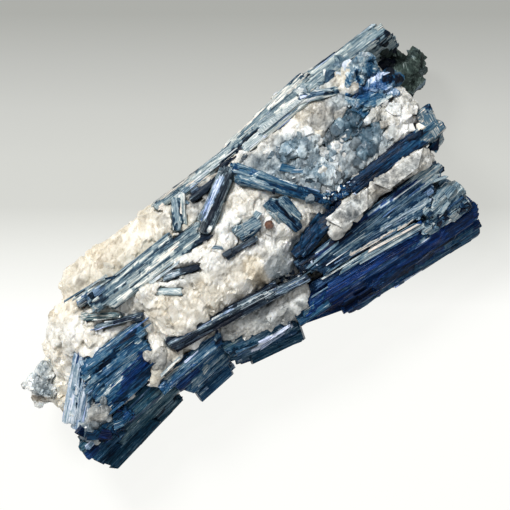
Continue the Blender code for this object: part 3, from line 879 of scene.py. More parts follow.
def mass(node, shade, tinge, accents, cell, chance):
    """A body of grains that run all ways, each with its own plane and shade."""
    body, mesh, places, normals = remeshed(node, BODY_VOXEL, 2)
    big, big_cell = broken_cells(places, cell * MM, 0.30, 0.18 * MM, chance)
    small, small_cell = broken_cells(places, cell * 0.4 * MM, 0.14, 0.05 * MM, chance)
    turns = []
    for _ in range(big_cell.max() + 1):
        turn = Matrix.Rotation(chance.uniform(0, math.tau), 3, "Z") @ Matrix.Rotation(chance.gauss(0, 0.4), 3, "Y")
        turns.append(np.array(turn, float))
    grain = np.einsum("ni,nij->nj", places / MM, np.array(turns)[big_cell]) + 31.0 * big_cell[:, None]
    ribs = np.array([noise.noise(Vector((g[0] / 6, g[1] / 1.1, g[2] / 1.1))) for g in grain])
    places = places + normals * (0.2 * MM + big + small + ribs * 0.12 * MM)[:, None]
    put_corners(mesh, places)
    shades, tinges, _ = tone_at(places, normals, accents, shade, tinge)
    big_shades = cell_shades(big_cell, 0.11, chance)
    set_vectors(mesh, "grain", grain)
    set_floats(mesh, "shade", shades + big_shades + cell_shades(small_cell, 0.06, chance))
    set_floats(mesh, "tinge", tinges + big_shades)
    set_floats(mesh, "warmth", tinges)
    set_looks(body, contrast=1.0)
    return body


def direction_at(point, runs):
    """The direction in which the runs (head, tail) pass a point, the closest counting most."""
    total = Vector()
    for head, tail in runs:
        along = tail - head
        share = max(0.0, min(1.0, (point - head).dot(along) / along.length_squared))
        distance = (head + along * share - point).length
        total += along.normalized() / (distance * distance + 1e-7)
    return total.normalized()


def add_strip(guide, point, normal, direction, tone, cast, chance, width, length, lift):
    """One thin blade lying in the skin of a sheaf."""
    along = (direction - normal * direction.dot(normal)).normalized()
    wide = drawn_size(chance, *width)
    want = chance.uniform(*length) * MM
    # Some strips are painted highlights (pale glints), some painted shade (dark gaps between blades)
    draw = chance.random()
    if draw < PAINTED_GLINT_DRAW:
        tone, wide, want = PAINTED_GLINT_TONE, chance.uniform(0.16, 0.3) * MM, chance.uniform(1.0, 4.0) * MM
    elif draw < PAINTED_GAP_DRAW:
        tone, wide = PAINTED_GAP_TONE, chance.uniform(0.2, 0.4) * MM
    ahead = run_to_edge(guide, point, along, normal, want * chance.uniform(0.3, 0.7))
    behind = run_to_edge(guide, point, -along, normal, want - ahead)
    long = ahead + behind
    if long < 1.2 * MM:
        return None
    near = guide.tree.find_nearest(point + along * (ahead - behind) / 2, 2.0 * MM)[0]
    if near is None:
        return None
    up = Matrix.Rotation(math.radians(chance.gauss(0, 6)), 3, along) @ normal
    turned = Matrix.Rotation(math.radians(chance.gauss(0, 2.0)), 3, up) @ along
    raised = chance.triangular(-0.2, lift * 0.6, -0.05) * MM
    if normal.z < 0.3:
        raised = min(raised, 0.0) - 0.1 * MM
    deep = max(wide * chance.uniform(0.8, 1.6), 0.5 * MM)
    return lay_blade(near + normal * raised, turned, up, long + chance.uniform(0.0, 0.5) * MM, wide, deep,
                     tone, chance, tip=chance.uniform(0.15, 0.9), tinge=cast)


def add_feather(guide, point, normal, direction, tone, cast, chance):
    """A thin blade that runs on past the end of the sheaf, over what lies there."""
    if normal.z < 0.35:
        return None
    along = direction if chance.random() < 0.5 else -direction
    flat = (along - normal * along.dot(normal)).normalized()
    rest = run_to_edge(guide, point, flat, normal, 3.0 * MM)
    if rest > 2.6 * MM:
        return None
    past = chance.uniform(0.6, 4.0) * MM
    end = point + flat * (rest + past)
    top = ground.ray_cast(end + Vector((0, 0, 10 * MM)), DOWN)[0]
    if top is None or top.z < end.z - 2.5 * MM or top.z > end.z + 2.5 * MM:
        return None
    start = point - flat * chance.uniform(1.5, 5.0) * MM
    end.z = top.z + 0.12 * MM
    wide = chance.uniform(0.3, 0.9) * MM
    return lay_blade((start + end) / 2, end - start, UP, (end - start).length, wide, 0.7 * MM, tone, chance,
                     tip=chance.uniform(0.1, 0.5), tinge=cast)


def add_stub(point, normal, direction, tone, cast, chance):
    """The broken end of one blade, standing a little out of the sheaf's end."""
    along = direction if direction.dot(normal) > 0 else -direction
    side = any_way(chance)
    up = (side - along * side.dot(along)).normalized()
    up = (up * 0.5 + UP).normalized()
    wide = chance.uniform(0.4, 1.8) * MM
    deep = chance.uniform(0.5, 2.0) * MM
    out = chance.uniform(-0.2, 0.7) * MM
    middle = point + along * (out - STUB_LENGTH / 2) + up * deep / 2
    return lay_blade(middle, along, up, STUB_LENGTH, wide, deep, tone, chance, tinge=cast)


def lay(head, tail, width, shade, tinge=PLAIN_TINGE, rise=0.35, tip=0.7, breaks=None, seed=1):
    """A single blade laid from one given place to another on the face, at the heights given or else on whatever lies
    under it. Its breaks are those of one of the masters."""
    chance = random.Random(seed)
    lies = [place[2] if len(place) == 3 else height(*place) + rise for place in (head, tail)]
    if abs(lies[0] - lies[1]) > 0.7 * math.dist(head[:2], tail[:2]):
        lies = [max(lies)] * 2  # one end hangs past an edge
    start = at(*head[:2], lies[0])
    end = at(*tail[:2], lies[1])
    middle = [(a + b) / 2 for a, b in zip(head[:2], tail[:2])]
    lowest = (height(*middle) + rise) * MM
    lifted = max(0.0, lowest - (start.z + end.z) / 2 - 0.3 * MM)
    centre = (start + end) / 2 + Vector((0, 0, lifted))
    depth = max(1.2, width * 0.9) * MM
    master = None if breaks is None else hand_masters[breaks]
    blade = lay_blade(centre, end - start, UP, (end - start).length, width * MM, depth, shade, chance, master,
                      tip=tip, tinge=tinge)
    set_looks(blade, warmth=tinge, contrast=1.0)
    return blade


def scatter(chance, start, end, reach, count, shade, spread, size=(0.8, 2.4), tinge=PLAIN_TINGE):
    """Broken grains of kyanite along a stretch of the face, half sunk in what lies there."""
    start, end = Vector(start), Vector(end)
    for _ in range(count):
        middle = start + (end - start) * chance.random()
        away = Vector((chance.gauss(0, reach / 2), chance.gauss(0, reach / 2)))
        if away.length > reach:
            continue
        place = middle + away
        base = height(*place)
        if base < LOWEST_LITTER:
            continue
        up = Vector((chance.gauss(0, 0.16), chance.gauss(0, 0.16), 1)).normalized()
        wide = drawn_size(chance, *size)
        grain = lay_grain(at(*place, base), up, wide, shade + chance.gauss(0, spread), chance)
        cast = tinge + chance.gauss(0, 0.1)
        set_looks(grain, tinge=cast, warmth=cast, contrast=1.0)
        turn = np.array(Matrix.Rotation(chance.uniform(0, math.tau), 3, "Z"), float)
        shift = np.array([chance.uniform(-90, 90) for _ in "xyz"])
        set_vectors(grain.data, "grain", corners(grain.data) / MM @ turn + shift)
        yield grain


def sheaf(node, finish, slot, runs, shade, spread=0.12, width=(0.5, 2.2), length=(4, 9), spacing=1.4,
          lift=0.15, tinge=PLAIN_TINGE, feathers=0.25, cell=0.0, accents=(), crystals=(), litters=(), bare=()):
    """Dresses one CAD solid in thin blades that follow its runs, and stands for it. With a cell
    size it is a mass of grains instead, and no blades lie in the bare rounds (centre, reach)."""
    chance = random.Random(sum(ord(letter) for letter in node))
    guide = guides[node]
    runs = [(at(*head), at(*tail)) for head, tail in runs]
    accents = [(np.array(at(*a, 0))[:2], np.array(at(*b, 0))[:2], reach * MM, *rest)
               for a, b, reach, *rest in accents]
    if cell:
        pieces = [mass(node, shade, tinge, accents, cell, chance)]
    else:
        pieces = [core(node, runs, shade - BODY_PAINTED_SHADE, tinge, accents)]
    for point, normal in guide.samples(spacing, chance):
        if cell or not exposed(point, normal):
            continue
        if any((point - at(*middle, point.z / MM)).length < reach * MM for middle, reach in bare):
            continue
        direction = direction_at(point, runs)
        tones, casts, reaches = tone_at(np.array([point]), np.array([normal]), accents, shade, tinge)
        quiet = 1.0 if reaches[0] == np.inf else 0.5
        tone = tones[0] + chance.gauss(0, spread) * quiet
        cast = casts[0] + chance.gauss(0, 0.14)
        spot = (point, normal, direction, tone, cast, chance)
        if abs(direction.dot(normal)) > STEEP:
            pieces.append(add_stub(*spot))
            continue
        longest = min(length[1], reaches[0] / MM * 1.1)
        blade = add_strip(guide, *spot, width, (min(length[0], longest), longest), lift)
        if blade and chance.random() < OWN_GRAIN:
            set_vectors(blade.data, "grain", grain_of(corners(blade.data), runs))
        pieces.append(blade)
        if chance.random() < feathers:
            pieces.append(add_feather(guide, *spot))
    pieces += [lay(*crystal, seed=number) for number, crystal in enumerate(crystals)]
    for litter in litters:
        pieces += scatter(chance, *litter)
    stand_for(join([piece for piece in pieces if piece], node + "_blades"), node, finish, slot)


# ---- Face, top-most first ---------------------------------------------------------------------

# Runs go from place to place at their heights. Accents: from, to, half width, shade, tinge. Crystals: from,
# to, width, shade, tinge, how far they rise, how wide the far end is, which break. Litters: from, to, reach,
# count, shade, spread, sizes, tinge. On the pieces with the quartz finish, tinge is the quartz's warmth.
sheaf(
    "cross_blade", BLUE_FINISH, "kyanite_blue", [((7.6, 17.2, 36), (20.6, -1.2, 34.6))],
    shade=0.61, spread=0.1, length=(6, 20), spacing=2.4, tinge=0.35,
    accents=[
        ((7.5, 16), (13, 9.5), 1.4, 0.72), ((14, 8.5), (20.5, -1.5), 0.8, 0.24), ((16.5, 9), (20, 2), 0.8, 0.2),
    ],
    crystals=[
        ((11.6, 7.2), (13.2, 8.8), 0.8, 0.05), ((17.6, 7.6), (18.6, 7.3), 0.5, 1),
        ((17, 11.6), (20.6, 7.6), 2, 0.5, TEAL_CAST), ((18, 9.4), (22, 6.4), 1.2, 0.65),
    ],
)
sheaf(
    "branch_blade", DARK_FINISH, "kyanite_dark", [((-7.4, 10.4, 35.4), (7.6, 18.9, 34.6))],
    shade=0.66, spread=0.14, width=(0.35, 1.2), length=(5, 14), spacing=1.6, tinge=0.3,
    accents=[((-4.4, 13.8), (3.4, 17.4), 1.2, 0.8, LILAC_CAST), ((-6.5, 10.8), (5.6, 17.2), 0.7, 0.18, TEAL_CAST)],
    crystals=[
        ((-9.6, 10.6), (-6, 8.2), 1.3, 0.18), ((-8.6, 9.4), (-6.8, 8.4), 0.9, 0.05),
        ((2.6, 21.6), (10.4, 20.2), 0.7, 0.08), ((4.6, 20), (9.6, 20.6), 0.8, 0.16),
    ],
)
sheaf(
    "stub_crystal", GREY_FINISH, "kyanite_teal", [((-1.4, 4.6, 36), (4.4, 4, 35.6))],
    shade=0.54, spread=0.05, width=(1.2, 2.4), length=(3, 5), spacing=6, lift=0.1, tinge=0.1, feathers=0,
    accents=[((-1.6, 2.6), (4.2, 1.8), 0.7, 0.22)],
    crystals=[((-0.8, 4.8), (3.8, 4), 3.3, 0.6, 0.1, 0.35, 1), ((4.4, 5.4), (6.4, 6), 1.8, 0.66, 0.3, 0.4, 1)],
)
sheaf(
    "twin_stub_crystals", GREY_FINISH, "kyanite_teal", [((9.8, 5.4, 35.2), (11.4, -3.2, 34.2))],
    shade=0.44, spread=0.06, width=(0.8, 2.2), length=(3, 8), spacing=5, lift=0.1, tinge=0.15, feathers=0,
    accents=[
        ((9.6, -1.6), (10.2, -3.4), 1.3, 0.2), ((12.6, -1.4), (12.4, -3.2), 1.3, 0.16),
        # Painted shade: the last accent is black in the slot between the two crystals
        ((11, 5.2), (11.3, -3.2), 0.35, 0),
    ],
    crystals=[
        ((9, 5), (9.6, -1.8), 2.4, 0.66, 0.1, 0.35, 1), ((12.5, 4.4), (12.6, -2.8), 2.1, 0.48, 0.15, 0.35, 0.9),
    ],
)
sheaf(
    "thin_dark_blade", DARK_FINISH, "kyanite_dark", [((-6.8, 2.3, 35.4), (1.8, 1.4, 35.2))],
    shade=0.45, width=(0.35, 0.9), tinge=0.25,
    crystals=[((-7.3, 2.2), (-5.4, 1.8), 1.6, 0.3), ((-8.4, 6.6), (-6, 4.2), 1, 0.72)],
)
sheaf(
    "arched_blade", DARK_FINISH, "kyanite_dark", [((-22.2, 8, 34.4), (-13.6, 4.6, 34.6))],
    shade=0.45, width=(0.35, 1.2), lift=0.2,
    accents=[((-22.2, 8.2), (-18.6, 7.4), 1.6, 0.76), ((-17, 6.6), (-13.6, 4.4), 1.3, 0.18)],
)
sheaf(
    "pale_blade", GREY_FINISH, "kyanite_grey_blue", [((-26.2, 6.6, 33.8), (-20.6, 2, 34.4))],
    shade=0.78, spread=0.08, width=(0.9, 1.8), length=(3, 7), spacing=9, lift=0, tinge=0.3, feathers=0,
)
sheaf(
    "green_blade", TEAL_FINISH, "kyanite_smoky_green", [((-44.2, 12.2, 29), (-36.8, 7.4, 31.6))],
    shade=0.8, spread=0.08, width=(0.4, 1), tinge=0.15,
)
sheaf(
    "dark_needle", DARK_FINISH, "kyanite_dark", [((-43.6, 8.6, 30), (-32.2, 3.9, 32.2))],
    shade=0.6, spread=0.2, width=(0.3, 0.8), length=(4, 10),
)
sheaf(
    "lilac_blade", GREY_FINISH, "kyanite_grey_blue", [((-52.2, 11.2, 24.6), (-46.6, 9.5, 27))],
    shade=0.6, width=(0.4, 0.9), length=(3, 6), tinge=LILAC_CAST,
)
sheaf(
    "long_dark_blade", DARK_FINISH, "kyanite_dark",
    [((-32, -5.6, 31.8), (-2, -11, 31.4)), ((-31, -7.4, 31.2), (5.6, -14.2, 29.8))],
    shade=0.38, spread=0.2, width=(0.3, 1), length=(8, 26), spacing=1.2, lift=0.25,
    accents=[
        ((-23, -7.3), (-3, -10.7), 0.4, 0.88, 0.4), ((-27, -8.9), (-12, -11.4), 0.3, 0.82, 0.4),
        ((-32, -5.6), (-28, -6.4), 1.4, 0.62), ((-31, -4.9), (-3, -9.9), 0.5, 0.08),
        ((-29, -6.4), (-14, -8.8), 0.45, 0.72, LILAC_CAST), ((-4, -12), (6.4, -14.6), 1.4, 0.66),
        # Painted shadow: a black line along the blade's lower edge
        ((-28, -8.6), (-8, -11.8), 0.45, 0.03),
    ],
    crystals=[
        ((-20, -7.6), (-7, -9.8), 0.5, 0.86, 0.4), ((-16, -7.5), (-5, -9.4), 0.6, 0.12),
        ((-12, -8.6), (-3, -10.4), 0.5, 0.6),
    ],
    litters=[
        ((-1, -10.4), (9, -12.8), 1.8, 56, 0.36, 0.26, (0.5, 1.6)),
        ((0, -10.4), (9, -12.6), 1.6, 22, 0.98, 0.05, (0.4, 0.8)),
    ],
)
sheaf(
    "upper_left_sheaf", SLATE_FINISH, "kyanite_navy",
    [
        ((-43, 16.6, 30.6), (-33, 15.9, 31.4)), ((-40, 12.6, 32.8), (-7, 12, 34.2)),
        ((-37, 10.4, 32.8), (-6.4, 9.8, 34.4)),
    ],
    shade=0.63, spread=0.22, width=(0.2, 0.6), length=(3, 14), spacing=1.2, lift=0.2, tinge=0.28,
    accents=[
        ((-43, 17.4), (-35, 17), 0.25, 0.05), ((-43, 16.6), (-36, 16.3), 0.25, 0.97),
        ((-41, 15.2), (-36, 14.8), 1, 0.42, 0.6), ((-40, 13.4), (-36, 12.8), 0.8, 0.02),
        ((-36, 15.2), (-20, 15.4), 0.25, 0.1), ((-33, 14.3), (-12, 14.4), 0.2, 0.85),
        ((-36, 13.3), (-12, 13.5), 0.7, 0.36), ((-34, 12.5), (-22, 12.5), 0.2, 0.04),
        ((-26, 12), (-14, 12.2), 0.25, 0.95), ((-22, 13.9), (-10, 13.7), 0.25, 0.1),
        ((-30, 11.3), (-16, 11.5), 0.3, 0.98), ((-34, 10.2), (-18, 9.8), 0.4, 0.98),
        ((-30, 10.8), (-18, 10.8), 0.2, 0.1), ((-28, 9.2), (-16, 9), 0.3, 0.9), ((-17, 9), (-8, 9), 0.3, 0.12),
        ((-15, 11.2), (-8, 11), 0.6, 0.4), ((-14, 10.2), (-8, 10.2), 0.2, 0.98),
    ],
    crystals=[
        ((-45.5, 18.2), (-36, 17.2), 0.5, 0.42), ((-44, 17.3), (-34, 17), 0.5, 0.8),
        ((-34, 16.2), (-31.5, 15.2), 1, 0.1), ((-30, 15.4), (-14, 15.6), 0.5, 0.55),
        ((-26, 8.6), (-16, 8.3), 0.8, 0.78), ((-12, 10), (-5.6, 8), 1, 0.12),
    ],
)
sheaf(
    "wedge_blade", BLUE_FINISH, "kyanite_blue", [((7.4, -8, 32), (22.6, -4.9, 32.8))],
    shade=0.25, spread=0.06, width=(1.2, 3), length=(6, 14), spacing=4, lift=0.08, tinge=0.4,
    accents=[((18, -5.2), (23, -4.6), 0.9, 0.04), ((8.5, -8.8), (16, -7.8), 0.4, 0.22)],
    crystals=[((8.4, -7.4), (18, -5.8), 2.6, 0.26, 0.4, 0.2, 0.9, 1)],
    litters=[((18.5, -5), (23.5, -4.4), 0.7, 22, 0.05, 0.05, (0.6, 1.8))],
)
sheaf(
    "band_blade", NAVY_FINISH, "kyanite_navy", [((21, -2.6, 33.2), (54, -3, 32.6))],
    shade=0.14, spread=0.07, width=(0.4, 2.2), length=(7, 22), spacing=2.2,
    accents=[
        ((20.5, -3), (28, -3.2), 1.8, 0.1), ((28, -2.2), (38, -2.4), 1.2, 0.22), ((40, -4), (49, -4), 1.1, 0.42),
        ((29, -5.4), (47, -5.6), 0.4, 0.02), ((51.6, 1.4), (53, -8.8), 3.4, 0.74, 0),
    ],
    crystals=[((53.7, 0.8), (52.6, -6.8), 3, 0.7, 0, 0.2, 0.9, 1)],
    litters=[
        ((20.6, -1.6), (28.6, -3.6), 1.9, 80, 0.32, 0.3, (0.6, 2)),
        ((21, -0.6), (28, -2.6), 1.8, 18, 1, 0.05, (0.4, 0.9)),
    ],
    bare=[((53, -3.5), 6.5)],
)
sheaf(
    "right_upper_sheaf", GREY_FINISH, "kyanite_grey_blue",
    [((5, -11, 30.6), (48.8, -11.6, 30.8)), ((9, -15.2, 28.6), (41, -19, 27.6))],
    shade=0.32, spread=0.15, width=(0.25, 1.2), length=(5, 26), lift=0.2,
    accents=[
        # The first accent is painted shade, black along the contact with the quartz band; the next line's two are
        # painted glint streaks
        ((8, -9.8), (48, -10.2), 0.55, 0), ((8, -11.2), (44, -11.8), 0.5, 0.22, ROYAL_CAST),
        ((27, -11.1), (33, -11.7), 0.2, 0.86), ((34, -12.1), (45, -12.4), 0.2, 0.86),
        ((13, -16.8), (25, -18), 0.4, 0.95), ((10, -13.4), (26, -14.3), 0.8, 0.32, TEAL_CAST),
        ((26, -13.2), (40, -14.5), 0.9, 0.4), ((28, -16), (41, -17.5), 0.8, 0.64),
        ((18, -16.4), (35, -19.6), 0.7, 0.84, STONE_CAST), ((42, -10.8), (48, -14), 1.8, 0.62, TEAL_CAST),
        ((8, -11), (14, -15.5), 1.2, 0.1),
    ],
    crystals=[
        ((3.5, -16.6, 26.4), (22, -18.8, 27.4), 2.2, 0.3, 0.6, 0),
        ((12, -17.6, 27.6), (36.5, -20.6, 27.6), 1.8, 0.5, TEAL_CAST, 0),
        ((18, -18.9, 27.3), (37, -21.8, 27.2), 1.5, 0.62, TEAL_CAST, 0),
        ((21, -18.2, 27.9), (36, -20.8, 27.9), 0.7, 0.88, STONE_CAST, 0),
        ((8, -16.6, 27.6), (20, -18, 27.8), 0.5, 0.8, 0.3, 0),
        ((24, -20.4, 27.2), (36, -22.6, 26.9), 0.9, 0.4, 0.5, 0), ((44, -14.2), (49.2, -15.9), 1, 0.6, TEAL_CAST),
        ((11, -14.6), (26, -15.4), 0.25, 0.84), ((14, -13.6), (24, -14.2), 0.22, 0.8),
        # These two crystals are painted glint streaks
        ((27, -11), (33, -11.6), 0.35, 0.86), ((34, -12), (45, -12.4), 0.3, 0.84),
        ((30, -14.6), (40, -16.4), 0.3, 0.9),
    ],
)
sheaf(
    "right_end_stub", GREY_FINISH, "kyanite_grey_blue",
    [((38.6, -19.2, 28.2), (48.6, -18, 27.4)), ((36, -23.6, 26), (50.4, -24.6, 24.4))],
    shade=0.6, spread=0.16, width=(0.8, 2.8), length=(2, 6), spacing=2.6, lift=0.4, tinge=0.3,
    accents=[
        ((41.5, -18), (48, -18.6), 2.1, 0.6, TEAL_CAST), ((40, -22.8), (49, -25), 0.8, 0.02),
        ((35.5, -19.5), (39.5, -23.5), 1.5, 0.36), ((44, -21.6), (49, -22.5), 0.9, 0.2),
    ],
    crystals=[
        ((41.4, -18.8), (45.2, -17.4), 3, 0.62, TEAL_CAST, 0.3, 1),
        ((44.6, -19.4), (48.4, -18.6), 2.6, 0.5, TEAL_CAST), ((41.6, -21.6), (45, -20.8), 1.8, 0.55, TEAL_CAST),
    ],
    litters=[
        ((35.5, -20), (40, -24), 2, 24, 0.42, 0.22, (0.7, 2.4)),
        ((41, -22), (48, -24), 1.6, 20, 0.2, 0.2, (0.7, 2.5)),
    ],
    bare=[((44, -19), 3.4)],
)
sheaf(
    "right_lower_blade", NAVY_FINISH, "kyanite_navy",
    [((-2.6, -19.8, 25.4), (37, -23.6, 25)), ((9, -27, 15), (47, -31.6, 14))],
    shade=0.345, spread=0.1, width=(0.4, 2.4), length=(6, 26), spacing=2.6, lift=0.12, tinge=0.75,
    accents=[
        ((34, -24.6), (46, -27), 0.9, 0.48, 0.3), ((6, -20.6), (14, -22), 0.6, 0.54, 0.3),
        ((20, -26.4), (30, -27.6), 0.35, 0.6, 0.3), ((38, -29.2), (46, -30.4), 0.5, 0.56, 0.2),
        ((28, -23.6), (40, -25.2), 0.3, 0.64, 0.4), ((-2.6, -19.4), (2.6, -22.8), 1.8, 0.46, TEAL_CAST),
        ((10, -19.8), (32, -22.4), 1.8, 0.36, 0.9), ((14, -22), (26, -23.6), 0.8, 0.6),
        ((2, -22.5), (12, -25.4), 1.8, 0.12, 0.9), ((10, -26), (34, -28.4), 1.3, 0.13, 0.6),
        ((12, -28.6), (48, -32), 0.8, 0.44, TEAL_CAST), ((25, -30.4), (34, -31.7), 0.25, 0.98),
        ((36, -26), (48, -27.5), 1.4, 0.3, 1), ((30, -24.8), (36, -25.2), 0.3, 0.8),
    ],
    crystals=[
        ((-3.2, -20.9, 23.6), (7, -21.4, 24.8), 4, 0.42, TEAL_CAST, 0, 1, 0),
        ((-1.2, -22.6), (12.5, -27.3), 1.8, 0.28, 0.7, 0, 0.6, 0),
        ((8, -18.4), (37, -21.4), 2.6, 0.36, 0.8, 1.4, 0.8), ((4, -19.6), (33, -23), 3, 0.3, 0.9, 0.6, 0.7),
        ((13, -21.8), (25, -23.2), 1, 0.58, 0.5), ((3, -18.6), (11, -19.4), 0.4, 0.8),
        ((28, -24.6), (36, -25), 0.3, 0.85),
    ],
)
sheaf(
    "bottom_blade", TEAL_FINISH, "kyanite_teal",
    [((-21.4, -16.6, 25), (-3.2, -20.4, 23.4)), ((-20.6, -20, 16), (-4.4, -25.2, 13))],
    shade=0.52, length=(6, 18), spacing=2.2, lift=0.22, tinge=0.55,
    accents=[
        ((-15.5, -20.2), (-5, -21), 0.7, 1), ((-10, -22.8), (-4, -25), 1.8, 0.44, 0.7),
        ((-20, -17.4), (-15, -19), 0.7, 0.15),
    ],
    crystals=[
        ((-20.6, -20.4, 14), (-4.6, -25.6, 12.6), 2.2, 0.34, 0.4, 0, 0.9),
        ((-18, -20.8, 18), (-2.9, -24.2, 17), 4.6, 0.36, 0.5, 0, 1, 0), ((-15.6, -19.9), (-5.2, -20.9), 1, 1, 0.6),
        ((-15, -21.1), (-7, -21.6), 0.7, 0.95, 0.6),
    ],
)
sheaf(
    "left_middle_sheaf", BLUE_FINISH, "kyanite_blue",
    [((-39, -13.4, 27.4), (-19.4, -12.6, 27.2)), ((-34.6, -21.4, 14), (-22.4, -20.4, 14))],
    shade=0.59, spread=0.15, width=(0.35, 1.8), length=(4, 14), spacing=1.6, lift=0.3,
    accents=[
        ((-38, -11.3), (-30.5, -10.6), 0.5, 0.8, TEAL_CAST), ((-37, -12.3), (-31, -12), 0.5, 0.72, TEAL_CAST),
        ((-33, -10.8), (-29, -10.9), 0.5, 0.05), ((-37, -16), (-31, -15.6), 1.5, 0.28, 0.8),
        ((-25, -18), (-20, -16.5), 1.1, 0.6, TEAL_CAST), ((-33, -20.5), (-20, -19), 1, 0.32, TEAL_CAST),
        ((-22, -13.2), (-18, -14.6), 0.9, 0.08),
    ],
    crystals=[
        ((-34.8, -21.2, 14.6), (-23.2, -20.4, 14.6), 3.4, 0.42, 0.4, 0, 1, 0),
        ((-29.8, -16.8), (-26.8, -16.2), 1.7, 0.82, TEAL_CAST, 0.3, 0.6),
        ((-38, -11), (-31, -10.2), 0.8, 0.85, TEAL_CAST), ((-32, -11), (-28.6, -11), 0.9, 0.06),
    ],
)
sheaf(
    "left_under_blade", TEAL_FINISH, "kyanite_teal",
    [((-65, -14.8, 22.6), (-37, -12.6, 24.6)), ((-62.6, -21.6, 12), (-39.6, -18.6, 13))],
    shade=0.43, width=(0.3, 1.6), length=(6, 20), spacing=1.7,
    accents=[
        ((-64.6, -13.8), (-60.6, -13.4), 1, 0.85), ((-64, -16.5), (-57, -19), 2.6, 0.36, 1),
        ((-52, -16.4), (-39, -15.6), 1.2, 0.6), ((-56, -18.6), (-37, -17), 2.2, 0.58, 0.4),
        ((-54, -21), (-38, -19), 1.4, 0.52), ((-50, -19.2), (-38, -17.8), 0.3, 0.05),
    ],
    crystals=[
        ((-63.5, -22.4, 12.6), (-38, -18.7, 12.6), 1.9, 0.36, 0.4, 0, 0.9, 6),
        ((-65.6, -16.4, 20.8), (-54, -15, 22.6), 4, 0.34, 0.6, 0, 1, 6),
        ((-64.4, -20.6, 15.6), (-46, -18, 17), 4.8, 0.32, 0.5, 0, 1, 6),
        ((-64.7, -18.6, 18.4), (-57, -17.6, 19.4), 2.8, 0.3, 0.6, 0, 1, 6),
        ((-64.4, -16.4), (-56, -16.8), 2.6, 0.34, 0.7, 0.2, 0.8),
        ((-64.8, -14), (-60.4, -13.4), 1.6, 0.85, 0.6, 0.3, 0.8),
    ],
    bare=[((-63, -18.4), 5)],
)
sheaf(
    "left_blue_sheaf", NAVY_FINISH, "kyanite_navy",
    [((-53, 2.2, 29.6), (-33, 1.6, 30.8)), ((-57, -9.6, 26.2), (-39, -8.6, 28.4))],
    shade=0.55, spread=0.15, width=(0.3, 1.6), length=(4, 15), lift=0.3, tinge=0.4,
    accents=[
        ((-50, -0.6), (-36, 2), 0.7, 0.08), ((-51, 0.8), (-44, 1.8), 0.7, 0.6),
        ((-49, -2.6), (-37, -0.2), 0.6, 0.42), ((-50, -4.8), (-38, -2.6), 0.5, 0.66),
        ((-51, -6), (-42, -4.6), 0.5, 0.8), ((-47, -8), (-38, -5), 1.4, 0.3, 0.8),
        ((-50, -9.6), (-40, -8.4), 0.9, 0.2), ((-57, -3), (-51, -2), 1.3, 0.62),
    ],
    crystals=[((-50, -5.2), (-38, -2.8), 0.5, 0.8), ((-57, -4.6), (-50, -3.2), 1.2, 0.6)],
)
sheaf(
    "left_silver_sheaf", GREY_FINISH, "kyanite_grey_blue",
    [((-63.6, -6, 22), (-49, 6.4, 28.6)), ((-62, -9.8, 21), (-52, -2, 28.6))],
    shade=0.8, spread=0.16, width=(0.25, 1), length=(2.5, 9), spacing=1.3, lift=0.2, tinge=0.5,
    accents=[
        ((-54.4, 1), (-50, 3.4), 1.3, 0.8), ((-58, 1.6), (-52, 6), 0.6, 0.5),
        ((-50, 4), (-47.5, 6.5), 0.9, 0.55, LILAC_CAST), ((-61, -4), (-53, 3), 0.25, 1),
        ((-58, -6.6), (-52, 0.6), 0.25, 1), ((-59, -4), (-51, 3.6), 0.2, 0.2),
    ],
    litters=[((-60, -4), (-51, 3), 2.6, 10, 0.66, 0.14, (0.9, 3.1))],
)
sheaf(
    "left_nub", NAVY_FINISH, "kyanite_navy", [((-60.4, -13.6, 24.6), (-50.4, -13.4, 26))],
    shade=0.26, spread=0.14, width=(0.6, 1.8), length=(2, 8), spacing=1.5, lift=0.3,
    accents=[((-59, -13), (-57, -15), 2.2, 0.06), ((-55.5, -13.5), (-52, -14.5), 1.5, 0.5, TEAL_CAST)],
    crystals=[
        ((-62.6, -8.4), (-61.4, -11.6), 2.4, 0.1, 0.7, 0.6),
        ((-59.2, -12.6), (-56.4, -15.4), 3, 0.06, ROYAL_CAST, 0.8),
        ((-61.6, -11.4), (-59.4, -13.4), 2.2, 0.14, TEAL_CAST, 1.2),
        ((-55.4, -13.4), (-52.4, -14.4), 2.6, 0.48, TEAL_CAST),
        ((-56.6, -16.3), (-53, -16.9), 0.7, 0.85, TEAL_CAST),
        ((-52.6, -11), (-50.8, -12.4), 1.5, 0.06, ROYAL_CAST), ((-61, -9.4), (-60.2, -9.8), 0.6, 1),
    ],
    litters=[((-59.5, -13.2), (-54.5, -14.8), 1.4, 16, 0.14, 0.1, (1.2, 2.8))],
)
sheaf(
    "corner_chip", QUARTZ_FINISH, "kyanite_grey_blue", [],
    shade=0.69, spacing=1.6, tinge=-0.35, cell=2.8,
    accents=[
        ((-63.5, 7.5), (-64.5, 3.5), 1.6, 0.6, -0.6), ((-60.5, 9), (-61.5, 6), 0.9, 0.48, -0.5),
        # The last accent is painted shade in a crevice
        ((-62, 5.5), (-63, 3), 0.9, 0.44, -0.7), ((-67, 4), (-63.5, 0.4), 0.9, 0.22, 0.4),
    ],
    # Both crystals are dark, painted as the same crevice's shade
    crystals=[((-66.2, 3.6), (-64, 0.8), 0.9, 0.12, 0.2), ((-64.8, 2.2), (-63.2, 0.4), 0.8, 0.2, 0.1)],
)
